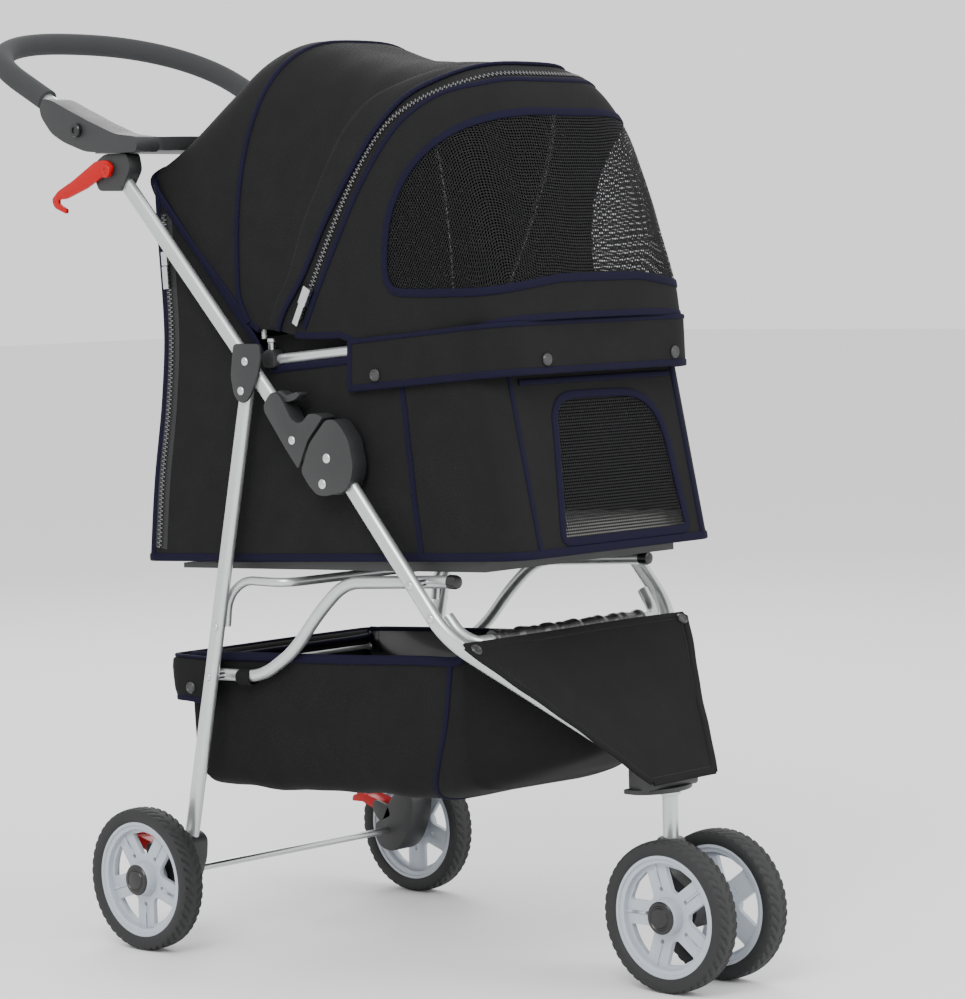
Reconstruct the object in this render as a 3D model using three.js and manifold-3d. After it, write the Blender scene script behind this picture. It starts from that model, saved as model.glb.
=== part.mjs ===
// A folding three-wheeled pet stroller. Millimetres, +Z up, the stroller faces -Y, X runs across it.
// Side outlines are written as [y, z], with y measured from the midpoint between the two axles.
import * as THREE from "three";
import { mergeVertices } from "three/addons/utils/BufferGeometryUtils.js";
import Module from "manifold-3d";

const wasm = await Module();
wasm.setup();

// ---------------------------------------------------------------- driving dimensions
const ORIGIN_Y = 124.2; // the part's origin, under the middle of the whole object, in side-outline y
const GAP = 0.35; // air left between touching pieces

const WHEEL_RADIUS = 75;
const WHEEL_WIDTH = 27;
const RIM_RADIUS = 60;
const HUB_RADIUS = 17;
const FRONT_AXLE = [-288.5, 75];
const REAR_AXLE = [288.5, 75];
const FRONT_WHEEL_X = 39.2;
const REAR_WHEEL_X = 205;
const STEM_Y = -258.5;
const AXLE_R = 3.9;

const LEG_X = 168; // centre plane of the legs and the handle uprights
const LEG_WIDE = 17; // flat-oval tube, seen from the side
const LEG_THICK = 11; // the same tube, across the stroller
const LEG_TOP_PIVOT = [153, 588];
const LEG_FOOT = [261.9, 97];
const FOLD_PIVOT = [37, 496];
const UPRIGHT_TOP = [352.5, 829];
const FRONT_LEG_TOP = [38, 530];
const FRONT_LEG_BEND = [-120, 348];
const FRONT_LEG_END = [24, -249, 216];

const SEAT_X = 145;
const SEAT_TUBE_R = 6.5;
const RIM_X = 148;
const RIM_TUBE_R = 5.5;
const RIM_TUBE_REAR = [127, 619];
const RIM_TUBE_FRONT = [-171, 645];
const SHELL_IN = 158.5; // inner face of the fold joint's plastic shells
const SHELL_OUT = 178.5;

const CABIN_HALF = 151;
const CLOTH = 4;
const HANDLE_X = 163;
const HANDLE_R = 8;
const FOAM_R = 12;
const BOW_R = 3;

// ---------------------------------------------------------------- materials
const finish = (color, roughness, metalness) =>
  new THREE.MeshStandardMaterial({ color, roughness, metalness });
const silver = () => finish(0xb9bfc0, 0.35, 0.7);
const plastic = () => finish(0x3b3c3d, 0.55, 0);
const cloth = () => finish(0x1d1d1f, 0.95, 0);
const rubber = () => finish(0x2a2b2c, 0.85, 0);
const rimPlastic = () => finish(0xa9b1bd, 0.45, 0);
const foam = () => finish(0x3f4243, 0.95, 0);
const red = () => finish(0xd5151c, 0.4, 0);
const steel = () => finish(0x9da1a3, 0.3, 0.9);

// ---------------------------------------------------------------- shape helpers
// A line through chosen points: tubes follow it with one section at each point.
class BentLine extends THREE.Curve {
  constructor(points) {
    super();
    this.points = points;
  }
  getPoint(t) {
    const at = t * (this.points.length - 1);
    const i = Math.min(Math.floor(at), this.points.length - 2);
    return this.points[i].clone().lerp(this.points[i + 1], at - i);
  }
  getSpacedPoints() {
    return this.points.map((p) => p.clone());
  }
  getTangentAt(u, target = new THREE.Vector3()) {
    const last = this.points.length - 1;
    const i = Math.round(u * last);
    const from = this.points[Math.max(i - 1, 0)];
    const to = this.points[Math.min(i + 1, last)];
    return target.subVectors(to, from).normalize();
  }
}

const v3 = (x, y, z) => new THREE.Vector3(x, y, z);

// Corner points become arcs of up to the given radius.
function rounded(corners, radius, steps = 5) {
  const out = [corners[0]];
  for (let i = 1; i < corners.length - 1; i++) {
    const here = corners[i];
    const back = corners[i - 1].clone().sub(here);
    const ahead = corners[i + 1].clone().sub(here);
    const reach = Math.min(radius, back.length() * 0.48, ahead.length() * 0.48);
    const a = here.clone().addScaledVector(back.normalize(), reach);
    const b = here.clone().addScaledVector(ahead.normalize(), reach);
    const arc = new THREE.QuadraticBezierCurve3(a, here, b);
    out.push(...arc.getPoints(steps));
  }
  out.push(corners[corners.length - 1]);
  return out;
}

// A flat-oval tube section: two half rounds joined by straight sides.
function ovalSection(across, wide, arcSteps = 4) {
  const r = across / 2;
  const long = wide / 2 - r;
  const points = [];
  for (const [centre, start] of [
    [long, 0],
    [-long, Math.PI],
  ])
    for (let i = 0; i <= arcSteps; i++) {
      const a = start + (Math.PI * i) / arcSteps;
      points.push(new THREE.Vector2(r * Math.cos(a), centre + r * Math.sin(a)));
    }
  return new THREE.Shape(points);
}

function roundSection(radius, sides = 12) {
  const points = [];
  for (let i = 0; i < sides; i++) {
    const a = (2 * Math.PI * i) / sides;
    points.push(new THREE.Vector2(radius * Math.cos(a), radius * Math.sin(a)));
  }
  return new THREE.Shape(points);
}

function sweep(section, points) {
  return new THREE.ExtrudeGeometry(section, {
    steps: points.length - 1,
    extrudePath: new BentLine(points),
    bevelEnabled: false,
  });
}

// A side outline made into a slab between two x values.
function slab(outline, x0, x1) {
  const shape = new THREE.Shape(outline.map(([y, z]) => new THREE.Vector2(y, z)));
  const g = new THREE.ExtrudeGeometry(shape, { depth: x1 - x0, bevelEnabled: false, steps: 1 });
  const turn = new THREE.Matrix4().set(0, 0, 1, x0, 1, 0, 0, 0, 0, 1, 0, 0, 0, 0, 0, 1);
  return g.applyMatrix4(turn);
}

// A plan outline [x, y] made into a slab between two heights.
function plan(outline, z0, z1) {
  const shape = new THREE.Shape(outline.map(([x, y]) => new THREE.Vector2(x, y)));
  const g = new THREE.ExtrudeGeometry(shape, { depth: z1 - z0, bevelEnabled: false, steps: 1 });
  return g.translate(0, 0, z0);
}

function rod(radius, from, to, sides = 12) {
  return sweep(roundSection(radius, sides), [from, to]);
}

// A turned piece about an axis parallel to X: profile [radius, x offset].
function turned(profile, segments, x, [y, z], side = 1) {
  const pts = profile.map(([r, h]) => new THREE.Vector2(r, h));
  const g = new THREE.LatheGeometry(pts, segments);
  g.rotateZ(-Math.PI / 2);
  if (side < 0) g.rotateZ(Math.PI);
  return g.translate(x, y, z);
}

function solid(geometry) {
  const g = geometry.clone();
  g.deleteAttribute("normal");
  g.deleteAttribute("uv");
  const merged = mergeVertices(g, 1e-4);
  const mesh = new wasm.Mesh({
    numProp: 3,
    vertProperties: merged.attributes.position.array,
    triVerts: new Uint32Array(merged.index.array),
  });
  return new wasm.Manifold(mesh);
}

function geometryOf(manifold) {
  const m = manifold.getMesh();
  const g = new THREE.BufferGeometry();
  g.setAttribute("position", new THREE.BufferAttribute(m.vertProperties, 3));
  g.setIndex(new THREE.BufferAttribute(m.triVerts, 1));
  const flat = g.toNonIndexed();
  flat.computeVertexNormals();
  return flat;
}

const joined = (...parts) => geometryOf(parts.map(solid).reduce((a, b) => a.add(b)));
const cut = (body, ...tools) =>
  geometryOf(tools.map(solid).reduce((a, b) => a.subtract(b), solid(body)));

// A thin closed sheet between an outer and an inner grid of points.
function sheet(outer, inner) {
  const rows = outer.length;
  const cols = outer[0].length;
  const position = [];
  for (const p of [outer, inner].flat(2)) position.push(p.x, p.y, p.z);
  const at = (layer, i, j) => layer * rows * cols + i * cols + j;
  const index = [];
  const quad = (a, b, c, d) => index.push(a, b, c, a, c, d);
  for (let i = 0; i < rows - 1; i++)
    for (let j = 0; j < cols - 1; j++) {
      quad(at(0, i, j), at(0, i + 1, j), at(0, i + 1, j + 1), at(0, i, j + 1));
      quad(at(1, i, j), at(1, i, j + 1), at(1, i + 1, j + 1), at(1, i + 1, j));
    }
  for (let i = 0; i < rows - 1; i++) {
    quad(at(0, i, 0), at(1, i, 0), at(1, i + 1, 0), at(0, i + 1, 0));
    quad(at(0, i, cols - 1), at(0, i + 1, cols - 1), at(1, i + 1, cols - 1), at(1, i, cols - 1));
  }
  for (let j = 0; j < cols - 1; j++) {
    quad(at(0, 0, j), at(0, 0, j + 1), at(1, 0, j + 1), at(1, 0, j));
    quad(at(0, rows - 1, j), at(1, rows - 1, j), at(1, rows - 1, j + 1), at(0, rows - 1, j + 1));
  }
  const g = new THREE.BufferGeometry();
  g.setAttribute("position", new THREE.Float32BufferAttribute(position, 3));
  g.setIndex(index);
  const flat = g.toNonIndexed();
  flat.computeVertexNormals();
  return flat;
}

const stroller = new THREE.Group();
stroller.position.y = -ORIGIN_Y;

function piece(name, geometry, material) {
  const mesh = new THREE.Mesh(geometry, material);
  mesh.name = name;
  stroller.add(mesh);
  return mesh;
}

// Right is the stroller's own right, which is -X when it faces -Y.
const SIDES = [
  ["right", -1],
  ["left", 1],
];
const spread = (s, a, b) => (s < 0 ? [-b, -a] : [a, b]); // an x range mirrored to one side
const unit = ([ay, az], [by, bz]) => {
  const d = Math.hypot(by - ay, bz - az);
  return [(by - ay) / d, (bz - az) / d];
};
const along = ([y, z], [dy, dz], d) => [y + dy * d, z + dz * d];

// ---------------------------------------------------------------- wheels
function tyre(x, axle) {
  const h = WHEEL_WIDTH / 2;
  const inner = RIM_RADIUS + GAP;
  const profile = [
    [inner, 4 - h],
    [RIM_RADIUS + 6, -h],
    [WHEEL_RADIUS - 4, 0.5 - h],
    [WHEEL_RADIUS, 6 - h],
    [WHEEL_RADIUS, h - 6],
    [WHEEL_RADIUS - 4, h - 0.5],
    [RIM_RADIUS + 6, h],
    [inner, h - 4],
    [inner, 4 - h],
  ];
  return turned(profile, 30, x, axle);
}

const WINDOW_IN = 25; // the five windows of a rim's face, by radius
const WINDOW_OUT = 47;
const FACE_THICK = 7;
const HUB_HALF = 14;
function rim(x, axle, side, turn) {
  const disc = new THREE.Shape();
  disc.absarc(0, 0, RIM_RADIUS - 4, 0, 2 * Math.PI);
  const windows = 5;
  for (let i = 0; i < windows; i++) {
    const mid = turn + (2 * Math.PI * i) / windows;
    const corner = (r, da) => new THREE.Vector2(r * Math.cos(mid + da), r * Math.sin(mid + da));
    const rimSide = [corner(WINDOW_OUT, 0.4), corner(WINDOW_OUT + 2, 0), corner(WINDOW_OUT, -0.4)];
    disc.holes.push(new THREE.Path([corner(WINDOW_IN, 0.1), ...rimSide, corner(WINDOW_IN, -0.1)]));
  }
  const face = new THREE.ExtrudeGeometry(disc, { depth: FACE_THICK, bevelEnabled: false, curveSegments: 12 });
  const toX = new THREE.Matrix4().set(0, 0, 1, -FACE_THICK / 2, 1, 0, 0, 0, 0, 1, 0, 0, 0, 0, 0, 1);
  face.applyMatrix4(toX);
  if (side < 0) face.rotateZ(Math.PI);
  face.translate(x, ...axle);
  const h = WHEEL_WIDTH / 2 - 5;
  const band = [
    [RIM_RADIUS - 6, -h],
    [RIM_RADIUS, -h],
    [RIM_RADIUS, h],
    [RIM_RADIUS - 6, h],
    [RIM_RADIUS - 6, -h],
  ];
  const hub = [
    [0, -HUB_HALF],
    [HUB_RADIUS, -HUB_HALF],
    [HUB_RADIUS, HUB_HALF],
    [0, HUB_HALF],
  ];
  const bore = rod(AXLE_R + GAP, v3(x - 20, ...axle), v3(x + 20, ...axle), 8);
  const whole = solid(face)
    .add(solid(turned(band, 24, x, axle)))
    .add(solid(turned(hub, 12, x, axle)))
    .subtract(solid(bore));
  return geometryOf(whole);
}

function hubcap(x, axle, side) {
  const dome = [
    [0, HUB_HALF + GAP],
    [HUB_RADIUS - 1, HUB_HALF + GAP],
    [HUB_RADIUS - 2, 16],
    [9, 17.2],
    [0, 17.5],
  ];
  return turned(dome, 12, x, axle, side);
}

function wheel(name, x, axle, side, turn) {
  piece(name + "_tyre", tyre(x, axle), rubber());
  piece(name + "_rim", rim(x, axle, side, turn), rimPlastic());
  piece(name + "_hubcap", hubcap(x, axle, side), rubber());
}

for (const [name, s] of SIDES) {
  wheel("front_wheel_" + name, s * FRONT_WHEEL_X, FRONT_AXLE, s, 0);
  wheel("rear_wheel_" + name, s * REAR_WHEEL_X, REAR_AXLE, s, Math.PI / 2);
}

const axle = (half, at) => rod(AXLE_R, v3(-half, ...at), v3(half, ...at));
piece("front_axle", axle(FRONT_WHEEL_X + HUB_HALF - 0.2, FRONT_AXLE), steel());
piece("rear_axle", axle(REAR_WHEEL_X + HUB_HALF - 0.2, REAR_AXLE), steel());

// ---------------------------------------------------------------- front caster
const STEM_TOP = 190;
const STEM_R = 7.8;
const STEM_FOOT = 108;
const SPIGOT_R = 5; // the thinner top of the stem, which turns in the fork bracket
const SPIGOT_TOP = 212;
const stemProfile = [
  [0, STEM_FOOT],
  [STEM_R, STEM_FOOT],
  [STEM_R, STEM_TOP - GAP],
  [SPIGOT_R, STEM_TOP - GAP],
  [SPIGOT_R, SPIGOT_TOP],
  [0, SPIGOT_TOP],
].map(([r, z]) => new THREE.Vector2(r, z));
const stem = new THREE.LatheGeometry(stemProfile, 16).rotateX(Math.PI / 2).translate(0, STEM_Y, 0);
piece("caster_stem", stem, silver());

const casterOutline = [
  [-270, 138],
  [-273, 112],
  [-300, 96],
  [-307, 78],
  [-300, 62],
  [-284, 57],
  [-271, 66],
  [-262, 84],
  [-247, 104],
  [-247, 138],
];
const stemBore = rod(STEM_R + GAP, v3(0, STEM_Y, STEM_FOOT - GAP), v3(0, STEM_Y, 160), 16);
const axleBore = rod(AXLE_R + GAP, v3(-60, ...FRONT_AXLE), v3(60, ...FRONT_AXLE));
piece("caster_head", cut(slab(casterOutline, -20, 20), stemBore, axleBore), plastic());

// ---------------------------------------------------------------- front frame
const legSection = ovalSection(LEG_THICK, LEG_WIDE);
const wideSection = ovalSection(LEG_THICK + 2 * GAP, LEG_WIDE + 2 * GAP);

function frontLegPath(s) {
  return rounded(
    [
      v3(s * LEG_X, ...FRONT_LEG_TOP),
      v3(s * LEG_X, ...FRONT_LEG_BEND),
      v3(s * FRONT_LEG_END[0], FRONT_LEG_END[1], FRONT_LEG_END[2]),
    ],
    28,
    6,
  );
}

for (const [name, s] of SIDES) {
  piece("front_leg_" + name, sweep(legSection, frontLegPath(s)), silver());
}

const bracketPlan = [];
for (let i = 0; i <= 12; i++) {
  const a = (Math.PI * i) / 12;
  bracketPlan.push([42 * Math.cos(a), -244 - 26 * Math.sin(a)]);
}
bracketPlan.push([-42, -234], [42, -234]);
const bracketBlock = [
  [-264, STEM_TOP + 3],
  [-264, 211],
  [-247, 226],
  [-237, 226],
  [-237, STEM_TOP + 3],
];
const bracketPlate = plan(bracketPlan.reverse(), STEM_TOP, STEM_TOP + 5);
const bracketBody = joined(bracketPlate, slab(bracketBlock, -38, 38));
const bracketBore = rod(SPIGOT_R + GAP, v3(0, STEM_Y, 180), v3(0, STEM_Y, SPIGOT_TOP + GAP), 16);
const bracketSockets = SIDES.map(([, s]) => sweep(wideSection, frontLegPath(s)));
piece("fork_bracket", cut(bracketBody, bracketBore, ...bracketSockets), plastic());

const frontTubePath = rounded(
  [
    v3(-148, -103, 368),
    v3(-146, -116, 352),
    v3(-136, -128, 342.5),
    v3(136, -128, 342.5),
    v3(146, -116, 352),
    v3(148, -103, 368),
  ],
  20,
  4,
);
piece("basket_front_tube", sweep(roundSection(6, 10), frontTubePath), silver());

// The cloth cape lies on the front of the two converging legs.
const CAPE_TOP = [-136, 347];
const CAPE_FOOT = [-275, 205];
const capeNormal = [unit(CAPE_TOP, CAPE_FOOT)[1], -unit(CAPE_TOP, CAPE_FOOT)[0]];
const capeRow = (at, half, lift) =>
  [-1, -0.5, 0, 0.5, 1].map((share) => v3(share * half, ...along(at, capeNormal, lift)));
const capeFace = (lift) => [capeRow(CAPE_TOP, 168, lift), capeRow(CAPE_FOOT, 50, lift)];
piece("leg_cape", sheet(capeFace(3), capeFace(0)), cloth());

// ---------------------------------------------------------------- rear frame
const rearDir = unit(LEG_FOOT, LEG_TOP_PIVOT);
const rearTop = along(LEG_TOP_PIVOT, rearDir, 3);
const housingOutline = [
  [246, 116],
  [259, 123],
  [277, 117],
  [290, 98],
  [295, 86],
  [305, 82],
  [306, 68],
  [298, 56],
  [284, 52],
  [269, 58],
  [258, 72],
  [249, 94],
];
const PEDAL_PIVOT = [303, 101];
const lugOutline = [
  [280, 92],
  [298, 84],
  [309, 96],
  [310, 104],
  [304, 109],
  [296, 107],
  [284, 104],
];
const pedalOutline = [
  [297, 98],
  [300, 106],
  [309, 108],
  [330, 113],
  [345, 109],
  [347, 103],
  [330, 104],
  [312, 97],
  [303, 94.5],
];
for (const [name, s] of SIDES) {
  const legPath = [v3(s * LEG_X, ...LEG_FOOT), v3(s * LEG_X, ...rearTop)];
  piece("rear_leg_" + name, sweep(legSection, legPath), silver());
  const pocket = sweep(wideSection, [v3(s * LEG_X, ...along(LEG_FOOT, rearDir, -GAP)), legPath[1]]);
  const bore = rod(AXLE_R + GAP, v3(-230, ...REAR_AXLE), v3(230, ...REAR_AXLE));
  const pinHole = rod(3.4, v3(s * 150, ...PEDAL_PIVOT), v3(s * 192, ...PEDAL_PIVOT));
  const body = joined(
    slab(housingOutline, ...spread(s, 154, 187)),
    slab(lugOutline, ...spread(s, 154, 158)),
    slab(lugOutline, ...spread(s, 183, 187)),
  );
  piece("brake_housing_" + name, cut(body, pocket, bore, pinHole), plastic());
  const pin = rod(3, v3(s * 155, ...PEDAL_PIVOT), v3(s * 186, ...PEDAL_PIVOT));
  piece("brake_pedal_" + name, joined(slab(pedalOutline, ...spread(s, 158.5, 182.5)), pin), red());
}

const crossPath = rounded(
  [
    v3(-157, 206, 342),
    v3(-157, 202, 372),
    v3(-157, 178, 391),
    v3(-157, 116, 391),
    v3(157, 116, 391),
    v3(157, 178, 391),
    v3(157, 202, 372),
    v3(157, 206, 342),
  ],
  24,
  4,
);
piece("rear_cross_tube", sweep(roundSection(4.7, 10), crossPath), silver());

// ---------------------------------------------------------------- seat frame
const seatPath = rounded(
  [
    v3(-SEAT_X, -105, 402),
    v3(-SEAT_X, 42, 394),
    v3(-SEAT_X, 80, 362),
    v3(-SEAT_X, 120, 318),
    v3(-SEAT_X, 168, 290),
    v3(-SEAT_X, 290, 287),
    v3(SEAT_X, 290, 287),
    v3(SEAT_X, 168, 290),
    v3(SEAT_X, 120, 318),
    v3(SEAT_X, 80, 362),
    v3(SEAT_X, 42, 394),
    v3(SEAT_X, -105, 402),
  ],
  22,
  3,
);
piece("seat_frame", sweep(roundSection(SEAT_TUBE_R, 10), seatPath), silver());
for (const [name, s] of SIDES) {
  const cap = [v3(s * SEAT_X, -105.4, 402.02), v3(s * SEAT_X, -112, 402.4), v3(s * SEAT_X, -115, 402.5)];
  const g = sweep(roundSection(SEAT_TUBE_R + 0.6, 12), cap);
  piece("seat_cap_" + name, g, rubber());
}

// ---------------------------------------------------------------- handle frame
const upDir = unit(FOLD_PIVOT, UPRIGHT_TOP);
const upright = (s, lift = 0) => [
  v3(s * LEG_X, ...along(FOLD_PIVOT, upDir, -3 - lift)),
  v3(s * LEG_X, ...along(UPRIGHT_TOP, upDir, lift)),
];
const hingeOutline = [
  [163, 636],
  [124, 636],
  [123, 622],
  [127, 606],
  [140, 582],
  [149, 575],
  [158, 577],
  [164, 584],
  [168, 603],
];
const knuckleOutline = [
  [30, 560.5],
  [18, 561],
  [9, 554],
  [-1, 541],
  [-7, 516],
  [-4, 502],
  [6, 489],
  [34, 484],
  [45, 485],
  [57, 495],
  [67, 508],
  [53.5, 537],
];
const knuckleRoom = [
  [36, 580],
  [24, 556],
  [19, 555.5],
  [12, 549],
  [3.5, 538],
  [-2.5, 515],
  [1, 504],
  [10, 493],
  [20, 490],
  [24, 470],
  [120, 470],
  [120, 600],
];
const latchOutline = [
  [114, 581],
  [108, 586.5],
  [102, 587.5],
  [96, 584],
  [89, 575],
  [80, 561],
  [71, 556.5],
  [63, 558],
  [55, 566],
  [44, 566.5],
  [34, 563],
  [56.5, 539.5],
  [71, 510],
  [90, 532],
  [118, 567],
  [119, 574],
];
const fingerHook = [
  [103, 585],
  [100, 589.5],
  [88, 584],
  [73, 588],
  [69, 585],
  [76, 580],
  [88, 577],
  [95, 579],
];
const bracketOutline = [
  [314, 818],
  [330, 796],
  [364, 797],
  [371, 812],
  [368, 828],
  [354, 835.6],
  [318, 835.6],
];
const legRoom = (s) => sweep(wideSection, frontLegPath(s));
for (const [name, s] of SIDES) {
  piece("upper_tube_" + name, sweep(legSection, upright(s)), silver());
  piece("hinge_plate_" + name, slab(hingeOutline, ...spread(s, 173.9, 177.4)), plastic());
  const room = sweep(wideSection, upright(s, 20));
  const knuckle = cut(
    slab(knuckleOutline, ...spread(s, SHELL_IN, SHELL_OUT)),
    slab(knuckleRoom, ...spread(s, SHELL_IN + 3.5, SHELL_OUT - 4)),
    legRoom(s),
  );
  piece("fold_knuckle_" + name, knuckle, plastic());
  const latchBody = joined(
    slab(latchOutline, ...spread(s, SHELL_IN, SHELL_OUT)),
    slab(fingerHook, ...spread(s, SHELL_IN + 3, SHELL_OUT - 3)),
  );
  piece("fold_latch_" + name, cut(latchBody, room), plastic());
  const socket = sweep(wideSection, upright(s, GAP));
  const bracket = cut(slab(bracketOutline, ...spread(s, 158, 177)), socket);
  piece("tray_bracket_" + name, bracket, plastic());
}

const HANDLE_SLOPE = (27.3 * Math.PI) / 180;
const HANDLE_BASE = [452, 893];
const handleDir = [Math.cos(HANDLE_SLOPE), Math.sin(HANDLE_SLOPE)];
const handlePoint = (x, d) => v3(x, ...along(HANDLE_BASE, handleDir, d));
const HANDLE_STRAIGHT = 56;
const HANDLE_REACH = 166;
const HANDLE_IN = 38; // how far the bar's ends reach into the tray's arms
function handleArc(from, steps) {
  const points = [handlePoint(-HANDLE_X, from)];
  const bulge = 0.86; // below 1, the bend is squarer than an ellipse
  for (let i = 0; i <= steps; i++) {
    const a = (Math.PI * i) / steps;
    const c = Math.cos(a);
    const x = -HANDLE_X * Math.sign(c) * Math.abs(c) ** bulge;
    const d = HANDLE_STRAIGHT + (HANDLE_REACH - HANDLE_STRAIGHT) * Math.sin(a) ** bulge;
    points.push(handlePoint(x, d));
  }
  points.push(handlePoint(HANDLE_X, from));
  return points;
}
piece("handle_bar", sweep(roundSection(HANDLE_R, 8), handleArc(-HANDLE_IN, 16)), silver());
const foamSection = roundSection(FOAM_R, 12);
foamSection.holes.push(new THREE.Path(roundSection(HANDLE_R + GAP, 8).getPoints()));
piece("foam_grip", sweep(foamSection, handleArc(9, 16)), foam());

// ---------------------------------------------------------------- cup tray
const armOutline = [
  [296, 852],
  [296, 836],
  [340, 836],
  [378, 839],
  [412, 850],
  [432, 860],
  [448, 878],
  [451, 888],
  [445, 898],
  [432, 896],
  [406, 885],
  [366, 869],
  [330, 856],
];
const TRAY_FRONT = 296;
const TRAY_BACK = 410;
const TRAY_TOP = 852;
const TRAY_BOTTOM = 838;
const CUP_R = 37;
const CUP_X = 84;
const CUP_Y = 352;
const CUP_FLOOR = 842;
const trayPlan = [
  [-158, TRAY_FRONT],
  [158, TRAY_FRONT],
  [158, TRAY_BACK - 20],
  [140, TRAY_BACK],
  [-140, TRAY_BACK],
  [-158, TRAY_BACK - 20],
];
const cup = (x) => rod(CUP_R, v3(x, CUP_Y, CUP_FLOOR), v3(x, CUP_Y, TRAY_TOP + 9), 24);
const cups = SIDES.map(([, s]) => cup(s * CUP_X));
const handleRoom = SIDES.map(([, s]) =>
  rod(HANDLE_R + GAP, handlePoint(s * HANDLE_X, -HANDLE_IN - GAP), handlePoint(s * HANDLE_X, 40), 12),
);
const trayBody = joined(
  plan(trayPlan, TRAY_BOTTOM, TRAY_TOP),
  ...SIDES.map(([, s]) => slab(armOutline, ...spread(s, 150, 182))),
);
piece("cup_tray", cut(trayBody, ...cups, ...handleRoom), plastic());
const CLAMP_BOLT = [389, 862];
for (const [name, s] of SIDES) {
  const head = rod(7.5, v3(s * (182 + GAP), ...CLAMP_BOLT), v3(s * 188, ...CLAMP_BOLT), 14);
  piece("clamp_bolt_" + name, head, plastic());
}

const hookOutline = [
  [336, 822],
  [344, 829],
  [362, 828.5],
  [400, 809],
  [424, 799],
  [435, 790],
  [431, 781],
  [412, 774],
  [411, 779],
  [424, 785.5],
  [424, 789.5],
  [412, 790],
  [379, 800],
  [352, 812],
  [341, 811],
];
piece("transport_hook", slab(hookOutline, -182, -178), red());

// ---------------------------------------------------------------- hood bows and rim
// A round-shouldered arch from a foot on each side to an apex on the centre plane.
const SHOULDER = 0.62;
function archPoint(foot, apex, half, a, shoulder = SHOULDER) {
  const c = Math.cos(a);
  const x = -half * Math.sign(c) * Math.abs(c) ** shoulder;
  const rise = Math.sin(a) ** shoulder;
  return v3(x, foot[0] + (apex[0] - foot[0]) * rise, foot[1] + (apex[1] - foot[1]) * rise);
}
const arch = (foot, apex, half, steps, shoulder) =>
  Array.from({ length: steps + 1 }, (_, i) => archPoint(foot, apex, half, (Math.PI * i) / steps, shoulder));
const MID_BOW_FOOT = [152, 640];
const MID_BOW_APEX = [167, 947];
const FRONT_BOW_FOOT = [96, 645];
const FRONT_BOW_APEX = [-54, 914];
const BOW_HALF = 143;
const BOW_DROP = 9; // a bow lies this far under the top of the cloth
const lowered = (foot, apex, d) => along(apex, unit(apex, foot), d);
function bow(foot, apex) {
  const line = arch(foot, lowered(foot, apex, BOW_DROP), BOW_HALF, 20);
  return sweep(roundSection(BOW_R, 6), line);
}
piece("mid_bow", bow(MID_BOW_FOOT, MID_BOW_APEX), silver());
piece("front_bow", bow(FRONT_BOW_FOOT, FRONT_BOW_APEX), silver());

const rimPath = rounded(
  [
    v3(-RIM_X, ...RIM_TUBE_REAR),
    v3(-RIM_X, ...RIM_TUBE_FRONT),
    v3(RIM_X, ...RIM_TUBE_FRONT),
    v3(RIM_X, ...RIM_TUBE_REAR),
  ],
  46,
  6,
);
piece("rim_tube", sweep(roundSection(RIM_TUBE_R, 10), rimPath), silver());

// ---------------------------------------------------------------- cloth: skirt band
const BAND_IN = 154.5;
const BAND_OUT = 158;
const BAND_REAR = 16;
const BAND_FRONT = -182;
function bandEdge(half, front, radius) {
  const corners = [v3(-half, BAND_REAR, 0), v3(-half, front, 0), v3(half, front, 0), v3(half, BAND_REAR, 0)];
  return rounded(corners, radius, 6).map((p) => [p.x, p.y]);
}
const bandPlan = [
  ...bandEdge(BAND_OUT, BAND_FRONT, 50),
  ...bandEdge(BAND_IN, BAND_FRONT + 3.5, 46.5).reverse(),
];
const BAND_SLOPE = -0.085;
const bandShear = new THREE.Matrix4().set(1, 0, 0, 0, 0, 1, 0, 0, 0, BAND_SLOPE, 1, 0, 0, 0, 0, 1);
piece("skirt_band", plan(bandPlan, 590, 640).applyMatrix4(bandShear), cloth());

// ---------------------------------------------------------------- cloth: cabin
const cabinOutline = [
  [-201, 430],
  [-163, 601],
  [120, 601],
  [160, 632],
  [298, 784],
  [304, 815],
  [312, 815],
  [309, 752],
  [303, 649],
  [310, 575],
  [326, 490],
  [336, 412],
  [326, 406],
];
const cabinRoom = [
  [-196.5, 434.5],
  [-158.5, 606],
  [-158.5, 900],
  [304, 900],
  [305, 752],
  [299, 649],
  [306, 575],
  [322, 490],
  [330, 411],
];
const cabinBlock = slab(cabinOutline, -CABIN_HALF, CABIN_HALF);
const cabinHollow = slab(cabinRoom, CLOTH - CABIN_HALF, CABIN_HALF - CLOTH);
piece("cabin", cut(cabinBlock, cabinHollow), cloth());

// The stiff floor panel lies on the seat frame and the rear cross tube, under the cabin.
const floorBoard = [
  [-150, 413],
  [285, 398],
  [285, 403.5],
  [-150, 424.5],
];
piece("floor_board", slab(floorBoard, -143, 143), plastic());
const floorPad = [
  [-185, 436],
  [-172, 456],
  [290, 436],
  [318, 424],
  [318, 413.5],
];
piece("floor_pad", slab(floorPad, -140, 140), cloth());

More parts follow.
